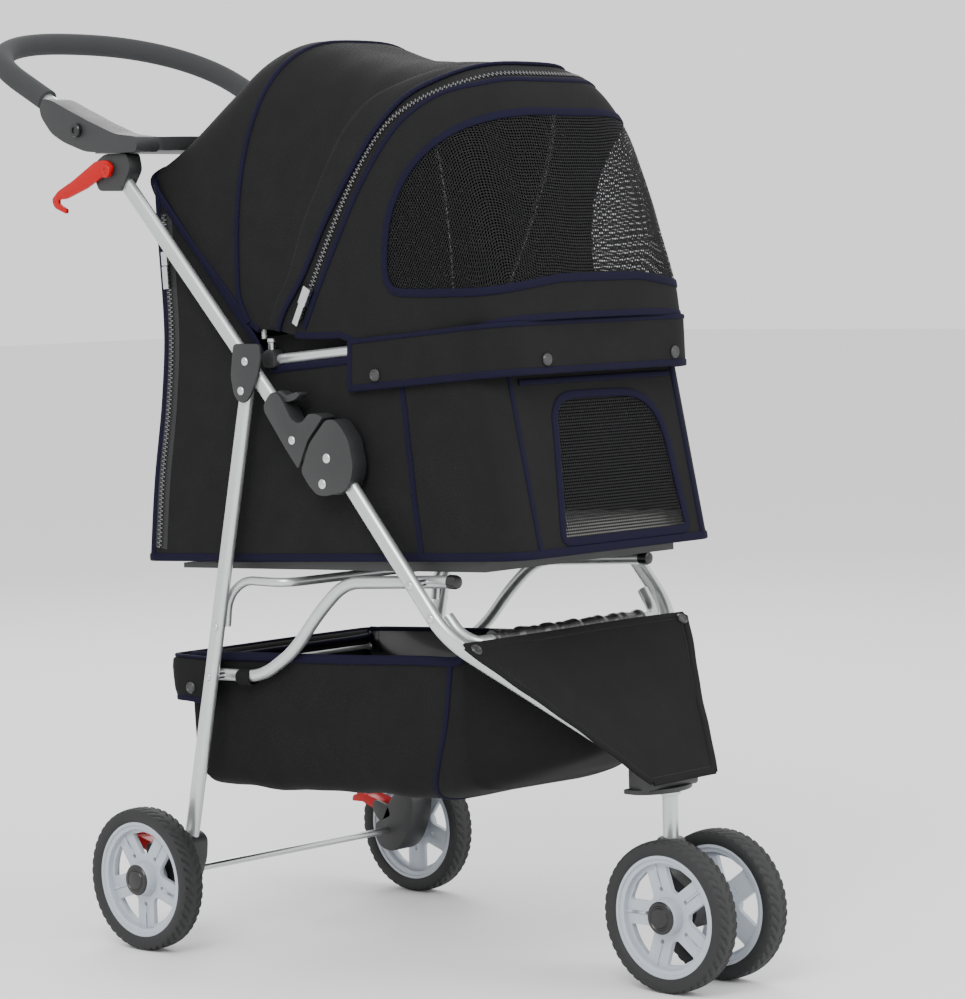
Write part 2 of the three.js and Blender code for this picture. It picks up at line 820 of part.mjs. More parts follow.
// ---------------------------------------------------------------- cloth: hood
// Each hood section runs from a foot on the right, over the top, to a foot on the left.
const hoodSections = [
  { foot: [166, 656], apex: [304, 820], half: 150, shoulder: 0.34 },
  { foot: [159, 653], apex: [240, 906], half: 150, shoulder: 0.5 },
  { foot: [150, 650], apex: [167, 947], half: 151 },
  { foot: [122, 649], apex: [60, 925], half: 152 },
  { foot: [92, 644], apex: [-54, 914], half: 154 },
  { foot: [40, 644], apex: [-106, 904], half: 154.2 },
  { foot: [-20, 648], apex: [-140, 868], half: 154.2 },
  { foot: [-80, 652], apex: [-162, 800], half: 154 },
  { foot: [-128, 656], apex: [-178, 720], half: 151 },
  { foot: [-150, 659], apex: [-184, 664], half: 145 },
];
const HOOD_THICK = 3.2;
const hoodFace = (inset) =>
  hoodSections.map(({ foot, apex, half, shoulder }) =>
    arch(foot, lowered(foot, apex, inset), half - inset, 16, shoulder),
  );
piece("hood", sheet(hoodFace(0), hoodFace(HOOD_THICK)), cloth());

// ---------------------------------------------------------------- cloth: basket
const BASKET_HALF = 137;
const basketOutline = [
  [282, 306],
  [100, 312],
  [-100, 322],
  [-117, 330],
  [-215, 234],
  [-150, 205],
  [-50, 180],
  [262, 166],
  [270, 170],
];
const basketRoom = [
  [278, 400],
  [-112, 400],
  [-112, 322],
  [-208, 235],
  [-148, 209],
  [-49, 184],
  [260, 170],
  [266, 174],
];
const basketPlan = (half, front) => [
  [25 - half, 290],
  [-half, 258],
  [-half, -100],
  [-half + 95, front],
  [half - 95, front],
  [half, -100],
  [half, 258],
  [half - 25, 290],
];
function basketBlock(outline, half, front) {
  const side = solid(slab(outline, -half, half));
  return side.intersect(solid(plan(basketPlan(half, front), 100, 420)));
}
const basketOuter = basketBlock(basketOutline, BASKET_HALF, -216);
const basketHollow = basketBlock(basketRoom, BASKET_HALF - CLOTH, -211);
piece("basket", geometryOf(basketOuter.subtract(basketHollow)), cloth());

export default stroller;
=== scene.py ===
import math

import bmesh
import bpy
from bpy.props import FloatProperty, FloatVectorProperty, IntProperty, PointerProperty
from mathutils import Matrix, Vector


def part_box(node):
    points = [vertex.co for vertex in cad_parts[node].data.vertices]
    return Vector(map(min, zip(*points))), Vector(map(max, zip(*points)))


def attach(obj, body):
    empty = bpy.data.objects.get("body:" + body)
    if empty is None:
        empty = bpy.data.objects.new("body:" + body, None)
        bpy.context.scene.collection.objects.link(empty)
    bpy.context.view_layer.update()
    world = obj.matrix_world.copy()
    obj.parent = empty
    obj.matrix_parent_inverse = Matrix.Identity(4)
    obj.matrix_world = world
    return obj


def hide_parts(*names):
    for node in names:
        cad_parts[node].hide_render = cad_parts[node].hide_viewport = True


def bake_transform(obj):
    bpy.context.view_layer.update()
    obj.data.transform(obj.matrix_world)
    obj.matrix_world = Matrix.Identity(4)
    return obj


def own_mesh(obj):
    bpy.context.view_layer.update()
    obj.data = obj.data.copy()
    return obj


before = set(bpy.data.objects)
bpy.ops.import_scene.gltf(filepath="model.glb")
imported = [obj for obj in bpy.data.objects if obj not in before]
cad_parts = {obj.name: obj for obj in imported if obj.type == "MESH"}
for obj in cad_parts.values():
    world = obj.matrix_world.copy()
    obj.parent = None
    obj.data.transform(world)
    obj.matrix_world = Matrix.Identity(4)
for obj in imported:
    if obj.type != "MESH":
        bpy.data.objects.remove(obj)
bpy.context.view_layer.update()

bl_info = {
    "name": "Folding pet stroller",
    "version": (1, 0, 0),
    "blender": (4, 5, 0),
    "location": "View3D > Sidebar > Stroller",
    "description": "Builds the cloth, wheels, shells and tubes of a three-wheeled pet stroller",
    "category": "Add Mesh",
}

# Pieces are drawn in millimetres: x across, y back from the middle between the axles, z up.
MM = 0.001
SIDES = (("right", -1), ("left", 1))


def middle(node):
    """The middle of a CAD node's box, in metres."""
    low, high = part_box(node)
    return (low + high) / 2


MID_Y = (middle("front_axle").y + middle("rear_axle").y) / 2  # the frame's y, between the axles
FRONT_AXLE = ((middle("front_axle").y - MID_Y) / MM, middle("front_axle").z / MM)
REAR_AXLE = ((middle("rear_axle").y - MID_Y) / MM, middle("rear_axle").z / MM)
FRONT_WHEEL_X = middle("front_wheel_left_tyre").x / MM
REAR_WHEEL_X = middle("rear_wheel_left_tyre").x / MM
WHEEL_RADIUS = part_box("rear_wheel_left_tyre")[1].z / MM / 2
LEG_X = middle("rear_leg_left").x / MM
STEM_Y = (middle("caster_stem").y - MID_Y) / MM


def row(p):
    """A drawn point in the frame's metres."""
    return Vector((p[0] * MM, p[1] * MM + MID_Y, p[2] * MM))


# ------------------------------------------------------------------ settings


class StrollerSettings(bpy.types.PropertyGroup):
    cloth: FloatVectorProperty(
        name="Cloth", description="Colour of the cabin and hood", subtype="COLOR", default=(0.0078, 0.0078, 0.0082))
    binding: FloatVectorProperty(
        name="Binding", description="Colour of the tape on the edges", subtype="COLOR",
        default=(0.0052, 0.0046, 0.0165))
    silver: FloatVectorProperty(
        name="Tubes", description="Colour of the painted tubes", subtype="COLOR", default=(0.58, 0.60, 0.60))
    plastic: FloatVectorProperty(
        name="Plastic", description="Colour of the moulded shells", subtype="COLOR", default=(0.018, 0.0185, 0.0195))
    rim: FloatVectorProperty(
        name="Wheel rims", description="Colour of the wheel rims", subtype="COLOR", default=(0.40, 0.44, 0.49))
    red: FloatVectorProperty(
        name="Red parts", description="Colour of the pedals and the hook", subtype="COLOR",
        default=(0.42, 0.0006, 0.002))
    binding_width: FloatProperty(
        name="Binding width", description="Width of the edge tape", unit="LENGTH", default=0.0085)
    weave_pitch: FloatProperty(
        name="Weave pitch", description="Distance between two threads of the cloth", unit="LENGTH", default=0.0013)
    net_pitch: FloatProperty(
        name="Net pitch", description="Distance between two holes of the window net", unit="LENGTH", default=0.0031)
    tube_sides: IntProperty(name="Tube sides", description="Facets round a tube", default=20, min=8)


def settings():
    """The scene's stroller settings."""
    return bpy.context.scene.stroller


# ------------------------------------------------------------------ shader groups


def group(name, inputs, outputs):
    """A new node group, its tree, and its input and output nodes."""
    tree = bpy.data.node_groups.new(name, "ShaderNodeTree")
    for label, kind, value in inputs:
        made = tree.interface.new_socket(label, in_out="INPUT", socket_type="NodeSocket" + kind)
        made.default_value = value
    for label, kind in outputs:
        tree.interface.new_socket(label, in_out="OUTPUT", socket_type="NodeSocket" + kind)
    return tree, tree.nodes.new("NodeGroupInput"), tree.nodes.new("NodeGroupOutput")


def math_node(tree, operation, a, b=None, clamp=False):
    node = tree.nodes.new("ShaderNodeMath")
    node.operation = operation
    node.use_clamp = clamp
    for socket, value in zip(node.inputs, (a, b)):
        if value is None:
            continue
        if isinstance(value, (int, float)):
            socket.default_value = value
        else:
            tree.links.new(value, socket)
    return node.outputs[0]


def mix_colour(tree, factor, a, b):
    node = tree.nodes.new("ShaderNodeMix")
    node.data_type = "RGBA"
    for socket, value in ((node.inputs[0], factor), (node.inputs[6], a), (node.inputs[7], b)):
        if isinstance(value, (int, float)):
            socket.default_value = value
        elif isinstance(value, (tuple, list)):
            socket.default_value = (*value[:3], 1)
        else:
            tree.links.new(value, socket)
    return node.outputs[2]


def noise(tree, vector, scale, detail=3):
    node = tree.nodes.new("ShaderNodeTexNoise")
    node.inputs["Detail"].default_value = detail
    tree.links.new(vector, node.inputs["Vector"])
    if isinstance(scale, (int, float)):
        node.inputs["Scale"].default_value = scale
    else:
        tree.links.new(scale, node.inputs["Scale"])
    return node.outputs["Fac"]


def weave_group():
    """Plain weave: over-and-under threads across whichever two axes the surface lies along."""
    tree, start, end = group(
        "Woven threads",
        (("Pitch", "Float", 0.0013), ("Dark", "Color", (0, 0, 0, 1)), ("Light", "Color", (1, 1, 1, 1)),
         ("Mottle", "Float", 0.4)),
        (("Colour", "Color"), ("Height", "Float")))
    place = tree.nodes.new("ShaderNodeTexCoord")
    split = tree.nodes.new("ShaderNodeSeparateXYZ")
    facing = tree.nodes.new("ShaderNodeSeparateXYZ")
    tree.links.new(place.outputs["Object"], split.inputs[0])
    tree.links.new(place.outputs["Normal"], facing.inputs[0])
    turn = math_node(tree, "DIVIDE", math.pi, start.outputs["Pitch"])
    waves = [math_node(tree, "SINE", math_node(tree, "MULTIPLY", split.outputs[i], turn)) for i in range(3)]
    shares = [math_node(tree, "POWER", math_node(tree, "ABSOLUTE", facing.outputs[i]), 3) for i in range(3)]
    total = None
    for i in range(3):
        crossing = math_node(tree, "MULTIPLY", waves[(i + 1) % 3], waves[(i + 2) % 3])
        part = math_node(tree, "MULTIPLY", crossing, shares[i])
        total = part if total is None else math_node(tree, "ADD", total, part)
    height = math_node(tree, "MULTIPLY_ADD", total, 0.5, clamp=True)
    height.node.inputs[2].default_value = 0.5
    cloud = math_node(tree, "MULTIPLY", noise(tree, place.outputs["Object"], 34, 5), start.outputs["Mottle"])
    shade = math_node(tree, "MULTIPLY_ADD", height, 0.6)
    tree.links.new(cloud, shade.node.inputs[2])
    tree.links.new(mix_colour(tree, shade, start.outputs["Dark"], start.outputs["Light"]), end.inputs["Colour"])
    tree.links.new(height, end.inputs["Height"])
    return tree


def grain_group():
    """Fine grain with broad cloudy wear, for plastic, paint, rubber and foam."""
    tree, start, end = group(
        "Fine grain",
        (("Scale", "Float", 900), ("Dark", "Color", (0, 0, 0, 1)), ("Light", "Color", (1, 1, 1, 1)),
         ("Rough low", "Float", 0.4), ("Rough high", "Float", 0.6)),
        (("Colour", "Color"), ("Roughness", "Float"), ("Height", "Float")))
    place = tree.nodes.new("ShaderNodeTexCoord").outputs["Object"]
    fine = noise(tree, place, start.outputs["Scale"], 2)
    cloud = noise(tree, place, 22, 4)
    shade = math_node(tree, "MULTIPLY", math_node(tree, "ADD", fine, cloud), 0.5)
    tree.links.new(mix_colour(tree, shade, start.outputs["Dark"], start.outputs["Light"]), end.inputs["Colour"])
    spread = math_node(tree, "SUBTRACT", start.outputs["Rough high"], start.outputs["Rough low"])
    rough = math_node(tree, "MULTIPLY_ADD", cloud, spread)
    tree.links.new(start.outputs["Rough low"], rough.node.inputs[2])
    tree.links.new(rough, end.inputs["Roughness"])
    tree.links.new(fine, end.inputs["Height"])
    return tree


def net_group():
    """A knitted net: round holes in a staggered grid over the piece's own flat pattern."""
    tree, start, end = group("Knitted net", (("Pitch", "Float", 0.003),), (("Solid", "Float"), ("Height", "Float")))
    split = tree.nodes.new("ShaderNodeSeparateXYZ")
    tree.links.new(tree.nodes.new("ShaderNodeTexCoord").outputs["UV"], split.inputs[0])
    turn = math_node(tree, "DIVIDE", 2 * math.pi, start.outputs["Pitch"])
    across = math_node(tree, "COSINE", math_node(tree, "MULTIPLY", split.outputs[0], turn))
    along = math_node(tree, "COSINE", math_node(tree, "MULTIPLY", split.outputs[1], turn))
    both = math_node(tree, "ADD", across, along)
    edge = math_node(tree, "MULTIPLY_ADD", both, -1.6, clamp=True)
    edge.node.inputs[2].default_value = 0.95
    tree.links.new(edge, end.inputs["Solid"])
    tree.links.new(both, end.inputs["Height"])
    return tree


# ------------------------------------------------------------------ materials

MADE = {}
NEAR_BLACK = (0.008, 0.008, 0.0085)


def material(name, roughness=0.6, metallic=0.0, **sockets):
    """A named material with its Principled node, ready for its own pattern."""
    made = bpy.data.materials.new(name)
    made.use_nodes = True
    shader = made.node_tree.nodes["Principled BSDF"]
    shader.inputs["Roughness"].default_value = roughness
    shader.inputs["Metallic"].default_value = metallic
    for label, value in sockets.items():
        shader.inputs[label.replace("_", " ")].default_value = value
    MADE[name] = made
    return made.node_tree, shader


def placed(tree, name, **values):
    node = tree.nodes.new("ShaderNodeGroup")
    node.node_tree = bpy.data.node_groups[name]
    for label, value in values.items():
        socket = node.inputs[label.replace("_", " ")]
        socket.default_value = (*value, 1) if isinstance(value, (tuple, list)) else value
    return node


def bump(tree, shader, height, strength, distance):
    node = tree.nodes.new("ShaderNodeBump")
    node.inputs["Strength"].default_value = strength
    node.inputs["Distance"].default_value = distance
    tree.links.new(height, node.inputs["Height"])
    tree.links.new(node.outputs[0], shader.inputs["Normal"])


def scaled(colour, share):
    return tuple(min(1.0, c * share) for c in colour)


def woven(name, colour, pitch, mottle=0.45, contrast=1.7, roughness=0.86, relief=0.35, **sockets):
    tree, shader = material(name, roughness, **sockets)
    threads = placed(tree, "Woven threads", Pitch=pitch, Mottle=mottle,
                     Dark=scaled(colour, 1 / contrast), Light=scaled(colour, contrast))
    tree.links.new(threads.outputs["Colour"], shader.inputs["Base Color"])
    bump(tree, shader, threads.outputs["Height"], relief, 0.0006)


def moulded(name, colour, scale, low, high, contrast=1.18, relief=0.12, metallic=0.0, **sockets):
    tree, shader = material(name, metallic=metallic, **sockets)
    grain = placed(tree, "Fine grain", Scale=scale, Rough_low=low, Rough_high=high,
                   Dark=scaled(colour, 1 / contrast), Light=scaled(colour, contrast))
    tree.links.new(grain.outputs["Colour"], shader.inputs["Base Color"])
    tree.links.new(grain.outputs["Roughness"], shader.inputs["Roughness"])
    bump(tree, shader, grain.outputs["Height"], relief, 0.0004)


def net(name, colour):
    tree, shader = material(name, 0.7, Specular_IOR_Level=0.15)
    holes = placed(tree, "Knitted net", Pitch=settings().net_pitch)
    shader.inputs["Base Color"].default_value = (*colour, 1)
    tree.links.new(holes.outputs["Solid"], shader.inputs["Alpha"])
    bump(tree, shader, holes.outputs["Height"], 0.3, 0.0004)


def make_materials():
    s = settings()
    weave_group()
    grain_group()
    net_group()
    woven("canopy cloth", s.cloth, s.weave_pitch, Sheen_Weight=0.01, Specular_IOR_Level=0.13)
    woven("edge tape", s.binding, 0.0011, mottle=0.3, contrast=1.4, roughness=0.8, Specular_IOR_Level=0.12)
    woven("basket cloth", scaled(s.cloth, 0.9), s.weave_pitch, Sheen_Weight=0.01, Specular_IOR_Level=0.13)
    woven("fleece", (0.62, 0.61, 0.58), 0.004, mottle=0.9, contrast=1.3, roughness=1.0, relief=0.8, Sheen_Weight=0.4)
    woven("zip tape", (0.012, 0.012, 0.013), 0.0009, mottle=0.2, roughness=0.75)
    moulded("coated lining", NEAR_BLACK, 60, 0.2, 0.48, relief=0.25, Coat_Weight=0.2)
    net("window net", NEAR_BLACK)
    moulded("silver paint", s.silver, 500, 0.22, 0.4, contrast=1.05, relief=0.04, metallic=0.75, Coat_Weight=0.2)
    moulded("shell plastic", s.plastic, 1400, 0.38, 0.6, relief=0.2)
    moulded("tray plastic", scaled(s.plastic, 1.15), 1100, 0.42, 0.62, relief=0.22)
    moulded("rim plastic", s.rim, 700, 0.28, 0.45, contrast=1.06, relief=0.05, Coat_Weight=0.15)
    moulded("tyre rubber", (0.013, 0.0135, 0.014), 800, 0.6, 0.85, contrast=1.35, relief=0.3)
    moulded("cap black", NEAR_BLACK, 900, 0.22, 0.35, relief=0.05)
    moulded("zinc steel", (0.62, 0.63, 0.64), 400, 0.18, 0.38, contrast=1.1, relief=0.05, metallic=1.0)
    moulded("dark metal", (0.20, 0.20, 0.21), 400, 0.18, 0.34, contrast=1.2, relief=0.05, metallic=1.0)
    moulded("red plastic", s.red, 900, 0.32, 0.45, contrast=1.1, relief=0.06, Specular_IOR_Level=0.25)
    moulded("grip foam", (0.026, 0.028, 0.029), 1500, 0.85, 0.98, contrast=1.55, relief=0.6)
    moulded("snap grey", (0.03, 0.03, 0.032), 700, 0.25, 0.4, relief=0.05)
    moulded("floor paint", (0.86, 0.86, 0.86), 3, 0.7, 0.8, contrast=1.01, relief=0.0)


# ------------------------------------------------------------------ mesh tools

HARD_SMOOTH, CLOTH_SMOOTH = 42, 60  # edges sharper than this, in degrees, stay sharp
MERGE = 2e-6  # metres within which two vertices are one
BEVEL_FROM = 28  # degrees


def build(name, verts, faces, finish, smooth=HARD_SMOOTH, uv=None):
    """A mesh object from drawn points, shaded smooth up to the given angle."""
    mesh = bpy.data.meshes.new(name)
    mesh.from_pydata([row(v) for v in verts], [], faces)
    if uv is not None:
        layer = mesh.uv_layers.new(name="Pattern")
        for loop in mesh.loops:
            layer.data[loop.index].uv = uv[loop.vertex_index]
    work = bmesh.new()
    work.from_mesh(mesh)
    bmesh.ops.remove_doubles(work, verts=work.verts, dist=MERGE)
    if uv is None:
        bmesh.ops.recalc_face_normals(work, faces=work.faces)
    work.to_mesh(mesh)
    work.free()
    made = bpy.data.objects.new(name, mesh)
    bpy.context.scene.collection.objects.link(made)
    mesh.materials.append(MADE[finish])
    shade(made, smooth)
    return made


def shade(made, angle=HARD_SMOOTH):
    """Smooth shading with sharp edges above the angle."""
    made.data.polygons.foreach_set("use_smooth", [True] * len(made.data.polygons))
    made.data.set_sharp_from_angle(angle=math.radians(angle))
    made.data.update()


def modify(made, kind, **values):
    """Adds a modifier and applies it."""
    modifier = made.modifiers.new(kind, kind)
    for label, value in values.items():
        setattr(modifier, label, value)
    depsgraph = bpy.context.evaluated_depsgraph_get()
    mesh = bpy.data.meshes.new_from_object(made.evaluated_get(depsgraph))
    made.modifiers.clear()
    old = made.data
    made.data = mesh
    bpy.data.meshes.remove(old)
    return made


def carve(made, *cutters):
    """Cuts each cutter out of a piece and deletes it."""
    for cutter in cutters:
        modify(made, "BOOLEAN", object=cutter, operation="DIFFERENCE", solver="EXACT")
        bpy.data.objects.remove(cutter)
    return made


def soften(made, width, segments=2, angle=HARD_SMOOTH):
    """Rounds the edges of a moulded piece."""
    modify(made, "BEVEL", width=width * MM, segments=segments, limit_method="ANGLE",
           angle_limit=math.radians(BEVEL_FROM), harden_normals=False)
    shade(made, angle)
    return made


def joined(name, pieces):
    """One object from several, which share their first one's place."""
    first = pieces[0]
    if len(pieces) > 1:
        with bpy.context.temp_override(
                active_object=first, object=first, selected_objects=pieces, selected_editable_objects=pieces):
            bpy.ops.object.join()
    first.name = name
    first.data.name = name
    return first


def hold(made, body, slot, *nodes):
    """Rides a piece on its body and hides the CAD nodes it stands for; its slot argument is not used."""
    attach(made, body)
    if nodes:
        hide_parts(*nodes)
    return made


def grid_faces(rows, columns, closed_rows=False, closed_columns=False):
    faces = []
    for i in range(rows if closed_rows else rows - 1):
        for j in range(columns if closed_columns else columns - 1):
            k, m = (i + 1) % rows, (j + 1) % columns
            faces.append((i * columns + j, k * columns + j, k * columns + m, i * columns + m))
    return faces


def arc_corners(corners, radius, steps=8):
    """The corner points with each inner corner turned into an arc."""
    points = [Vector(c) for c in corners]
    out = [points[0]]
    for back, here, ahead in zip(points, points[1:], points[2:]):
        reach = min(radius, (back - here).length * 0.48, (ahead - here).length * 0.48)
        a = here + (back - here).normalized() * reach
        b = here + (ahead - here).normalized() * reach
        for i in range(steps + 1):
            t = i / steps
            out.append(a.lerp(here, t).lerp(here.lerp(b, t), t))
    out.append(points[-1])
    return out


def round_outline(outline, radius, steps=4):
    """A closed outline with every corner rounded."""
    count = len(outline)
    out = []
    for i in range(count):
        back, here, ahead = (Vector(outline[(i + k) % count]) for k in (-1, 0, 1))
        reach = min(radius, (back - here).length * 0.45, (ahead - here).length * 0.45)
        a = here + (back - here).normalized() * reach
        b = here + (ahead - here).normalized() * reach
        for j in range(steps + 1):
            t = j / steps
            out.append(a.lerp(here, t).lerp(here.lerp(b, t), t))
    return out


def frames(points, closed=False):
    """At each point of a line: its direction and two steady normals."""
    line = [Vector(p) for p in points]
    count = len(line)
    found = []
    normal = None
    for i, p in enumerate(line):
        back = line[(i - 1) % count] if closed or i else p
        ahead = line[(i + 1) % count] if closed or i < count - 1 else p
        tangent = (ahead - back).normalized()
        if normal is None:
            normal = Vector((0, 0, 1) if abs(tangent.x) > 0.9 else (1, 0, 0))
        normal = (normal - tangent * normal.dot(tangent)).normalized()
        found.append((p, tangent, normal, tangent.cross(normal)))
    return found


def ring_loft(rings, closed=False):
    """The vertices and faces between rings of points, capped unless the loft is closed."""
    size = len(rings[0])
    verts = [p for ring in rings for p in ring]
    faces = grid_faces(len(rings), size, closed_rows=closed, closed_columns=True)
    if not closed:
        last = (len(rings) - 1) * size
        faces.append(tuple(reversed(range(size))))
        faces.append(tuple(range(last, last + size)))
    return verts, faces


def circle(radius, sides):
    """A round section."""
    return [(radius * math.cos(2 * math.pi * i / sides), radius * math.sin(2 * math.pi * i / sides))
            for i in range(sides)]


def flat_oval(across, wide, steps=8):
    """A section with two straight sides and two half rounds."""
    r = across / 2
    long = wide / 2 - r
    points = []
    for centre, start in ((long, 0), (-long, math.pi)):
        for i in range(steps + 1):
            a = start + math.pi * i / steps
            points.append((r * math.cos(a), centre + r * math.sin(a)))
    return points


def tube(name, points, section, finish, closed=False, swell=None):
    """A section swept along a line; swell scales it at each share of the way."""
    rings = []
    found = frames(points, closed)
    for i, (p, _, across, up) in enumerate(found):
        size = swell(i / (len(found) - 1)) if swell else 1
        rings.append([p + across * (a * size) + up * (b * size) for a, b in section])
    verts, faces = ring_loft(rings, closed)
    return build(name, verts, faces, finish)


def ribbon(name, points, normals, width, thick, finish, closed=False, lift=0.0):
    """A flat tape along a line on a surface, standing half a thickness proud of it on both sides."""
    count = len(points)
    section = [(a * width / 2, b * thick / 2) for a, b in
               ((1, 0.35), (0.82, 1), (0.3, 1.15), (-0.3, 1.15), (-0.82, 1), (-1, 0.35),
                (-1, -0.35), (-0.82, -1), (0.82, -1), (1, -0.35))]
    rings = []
    for i, (p, n) in enumerate(zip(points, normals)):
        back = points[(i - 1) % count] if closed or i else p
        ahead = points[(i + 1) % count] if closed or i < count - 1 else p
        tangent = (Vector(ahead) - Vector(back)).normalized()
        normal = (n - tangent * n.dot(tangent)).normalized()
        side = tangent.cross(normal)
        rings.append([Vector(p) + side * a + normal * (b + lift) for a, b in section])
    verts, faces = ring_loft(rings, closed)
    return build(name, verts, faces, finish, smooth=CLOTH_SMOOTH)


def lathe(name, profile, x, axle, finish, steps=72, side=1, smooth=35):
    """A turned piece about an axis along x: the profile is (radius, outward x)."""
    verts = []
    for i in range(steps):
        a = 2 * math.pi * i / steps
        for r, h in profile:
            verts.append((x + side * h, axle[0] + r * math.cos(a), axle[1] + r * math.sin(a)))
    faces = grid_faces(steps, len(profile), closed_rows=True)
    return build(name, verts, faces, finish, smooth)


def slab(name, outline, x0, x1, finish, corner=3.0, edge=1.2):
    """A side outline given thickness across, with rounded corners and edges."""
    ring = round_outline(outline, corner)
    verts, faces = ring_loft([[(x, p[0], p[1]) for p in ring] for x in (x0, x1)])
    made = build(name, verts, faces, finish)
    return soften(made, edge) if edge else made


def spread(s, a, b):
    """The range from a to b, taken to side s."""
    return (-b, -a) if s < 0 else (a, b)


def pin_head(name, x, y, z, side, radius=4.2, height=2.2, finish="zinc steel"):
    """A domed rivet head on a side face."""
    profile = [(radius * math.sin(a), height * math.cos(a)) for a in
               (math.pi / 2 * k / 6 for k in range(7))]
    return lathe(name, [(radius, 0)] + profile[::-1], x, (y, z), finish, 20, side)


def spaced(points, step):
    """Points and directions at even steps along a line."""
    out = []
    carry = step / 2
    for a, b in zip(points, points[1:]):
        a, b = Vector(a), Vector(b)
        length = (b - a).length
        while carry < length:
            out.append((a.lerp(b, carry / length), (b - a) / length))
            carry += step
        carry -= length
    return out


def blocks(name, places, size, finish):
    """Many small blocks in one mesh: each place is (centre, along, normal)."""
    verts, faces = [], []
    for centre, along, normal in places:
        side = along.cross(normal).normalized()
        start = len(verts)
        for i in (-1, 1):
            for j, k in ((-1, -1), (1, -1), (1, 1), (-1, 1)):
                verts.append(centre + along * (i * size[0] / 2) + side * (j * size[1] / 2)
                             + normal * (k * size[2] / 2))
        faces += [tuple(start + n for n in f) for f in
                  ((0, 3, 2, 1), (4, 5, 6, 7), (0, 1, 5, 4), (1, 2, 6, 5), (2, 3, 7, 6), (3, 0, 4, 7))]
    return build(name, verts, faces, finish, smooth=10)


ZIP_TAPE_WIDTH, ZIP_PITCH, ZIP_LIFT, TOOTH = 20, 2.3, 1.2, (1.35, 4.2, 1.9)
STITCH_PITCH, STITCH = 4.2, (2.6, 0.55, 0.5)
CLOTH_STEP = 5


def zipper(name, points, normals):
    """A coil zip along a line: black tape and two rows of teeth. Returns its pieces."""
    tape = ribbon(name + "_tape", points, normals, ZIP_TAPE_WIDTH, 0.9, "zip tape")
    places = []
    steps = spaced(points, ZIP_PITCH)
    for n, (p, along) in enumerate(steps):
        near = min(range(len(points)), key=lambda i: (Vector(points[i]) - p).length)
        normal = normals[near]
        side = along.cross(normal).normalized()
        places.append((p + normal * ZIP_LIFT + side * (1.3 if n % 2 else -1.3), along, normal))
    teeth = blocks(name + "_teeth", places, TOOTH, "dark metal")
    return tape, teeth


def stitches(name, points, normals, lift):
    """A row of short threads along a line."""
    places = []
    for p, along in spaced(points, STITCH_PITCH):
        near = min(range(len(points)), key=lambda i: (Vector(points[i]) - p).length)
        places.append((p + normals[near] * lift, along, normals[near]))
    return blocks(name, places, STITCH, "zip tape")


# ------------------------------------------------------------------ cut surfaces


def cut_surface(point, field, rows, columns):
    """A grid surface split along field = 0: vertices next to the line move onto it.
    Returns the vertices, the faces inside and outside the line, and the line itself."""
    nodes = {}
    for i, u in enumerate(rows):
        for j, v in enumerate(columns):
            nodes[i, j] = [u, v, field(u, v)]
    pinned = set()
    for (i, j), here in list(nodes.items()):
        for step in ((1, 0), (0, 1)):
            there = nodes.get((i + step[0], j + step[1]))
            if there is None or here[2] * there[2] >= 0:
                continue
            t = here[2] / (here[2] - there[2])
            mover = here if t < 0.5 else there
            u, v = (here[k] + (there[k] - here[k]) * t for k in (0, 1))
            mover[:] = [u, v, 0.0]
            pinned.add((i, j) if mover is here else (i + step[0], j + step[1]))
    index = {key: n for n, key in enumerate(nodes)}
    verts = [Vector(point(u, v)) for u, v, _ in nodes.values()]
    inside, outside = [], []
    for i in range(len(rows) - 1):
        for j in range(len(columns) - 1):
            corners = [(i, j), (i + 1, j), (i + 1, j + 1), (i, j + 1)]
            values = [nodes[c][2] for c in corners]
            flat = [c in pinned for c in corners]
            if flat[0] and flat[2] and values[1] * values[3] < 0:
                split = ([0, 1, 2], [0, 2, 3])
            elif flat[1] and flat[3] and values[0] * values[2] < 0:
                split = ([1, 2, 3], [1, 3, 0])
            else:
                split = ([0, 1, 2, 3],)
            for part in split:
                total = sum(values[k] for k in part)
                face = tuple(index[corners[k]] for k in part)
                (inside if total > 0 else outside).append(face)
    return verts, inside, outside, line_between(inside, outside)


def edges_of(faces):
    found = {}
    for face in faces:
        for a, b in zip(face, face[1:] + face[:1]):
            found[frozenset((a, b))] = (a, b)
    return found


def line_between(inside, outside):
    """The longest run of edges that both sets of faces share, as vertex numbers."""
    inner, outer = edges_of(inside), edges_of(outside)
    links = {}
    for key in inner.keys() & outer.keys():
        a, b = key
        links.setdefault(a, []).append(b)
        links.setdefault(b, []).append(a)
    runs = []
    while links:
        start = next((k for k, v in links.items() if len(v) == 1), next(iter(links)))
        run, here = [start], start
        while links.get(here):
            there = links[here].pop()
            links[there].remove(here)
            run.append(there)
            here = there
        links = {k: v for k, v in links.items() if v}
        runs.append(run)
    return max(runs, key=len) if runs else []


def only(verts, faces, uv=None):
    """The vertices that these faces use, renumbered, with their flat pattern."""
    used = sorted({i for f in faces for i in f})
    number = {old: new for new, old in enumerate(used)}
    faces = [tuple(number[i] for i in f) for f in faces]
    return [verts[i] for i in used], faces, [uv[i] for i in used] if uv else None


def surface_normal(point, u, v, step=0.004):
    a = Vector(point(u + step, v)) - Vector(point(u - step, v))
    b = Vector(point(u, v + step)) - Vector(point(u, v - step))
    return a.cross(b).normalized()


def smoothed(points, rounds=3, closed=False):
    line = [Vector(p) for p in points]
    for _ in range(rounds):
        fresh = []
        for i, p in enumerate(line):
            if not closed and i in (0, len(line) - 1):
                fresh.append(p)
            else:
                fresh.append((line[i - 1] + p * 2 + line[(i + 1) % len(line)]) / 4)
        line = fresh
    return line


CLOTH_THICK, NET_THICK = 1.4, 0.5


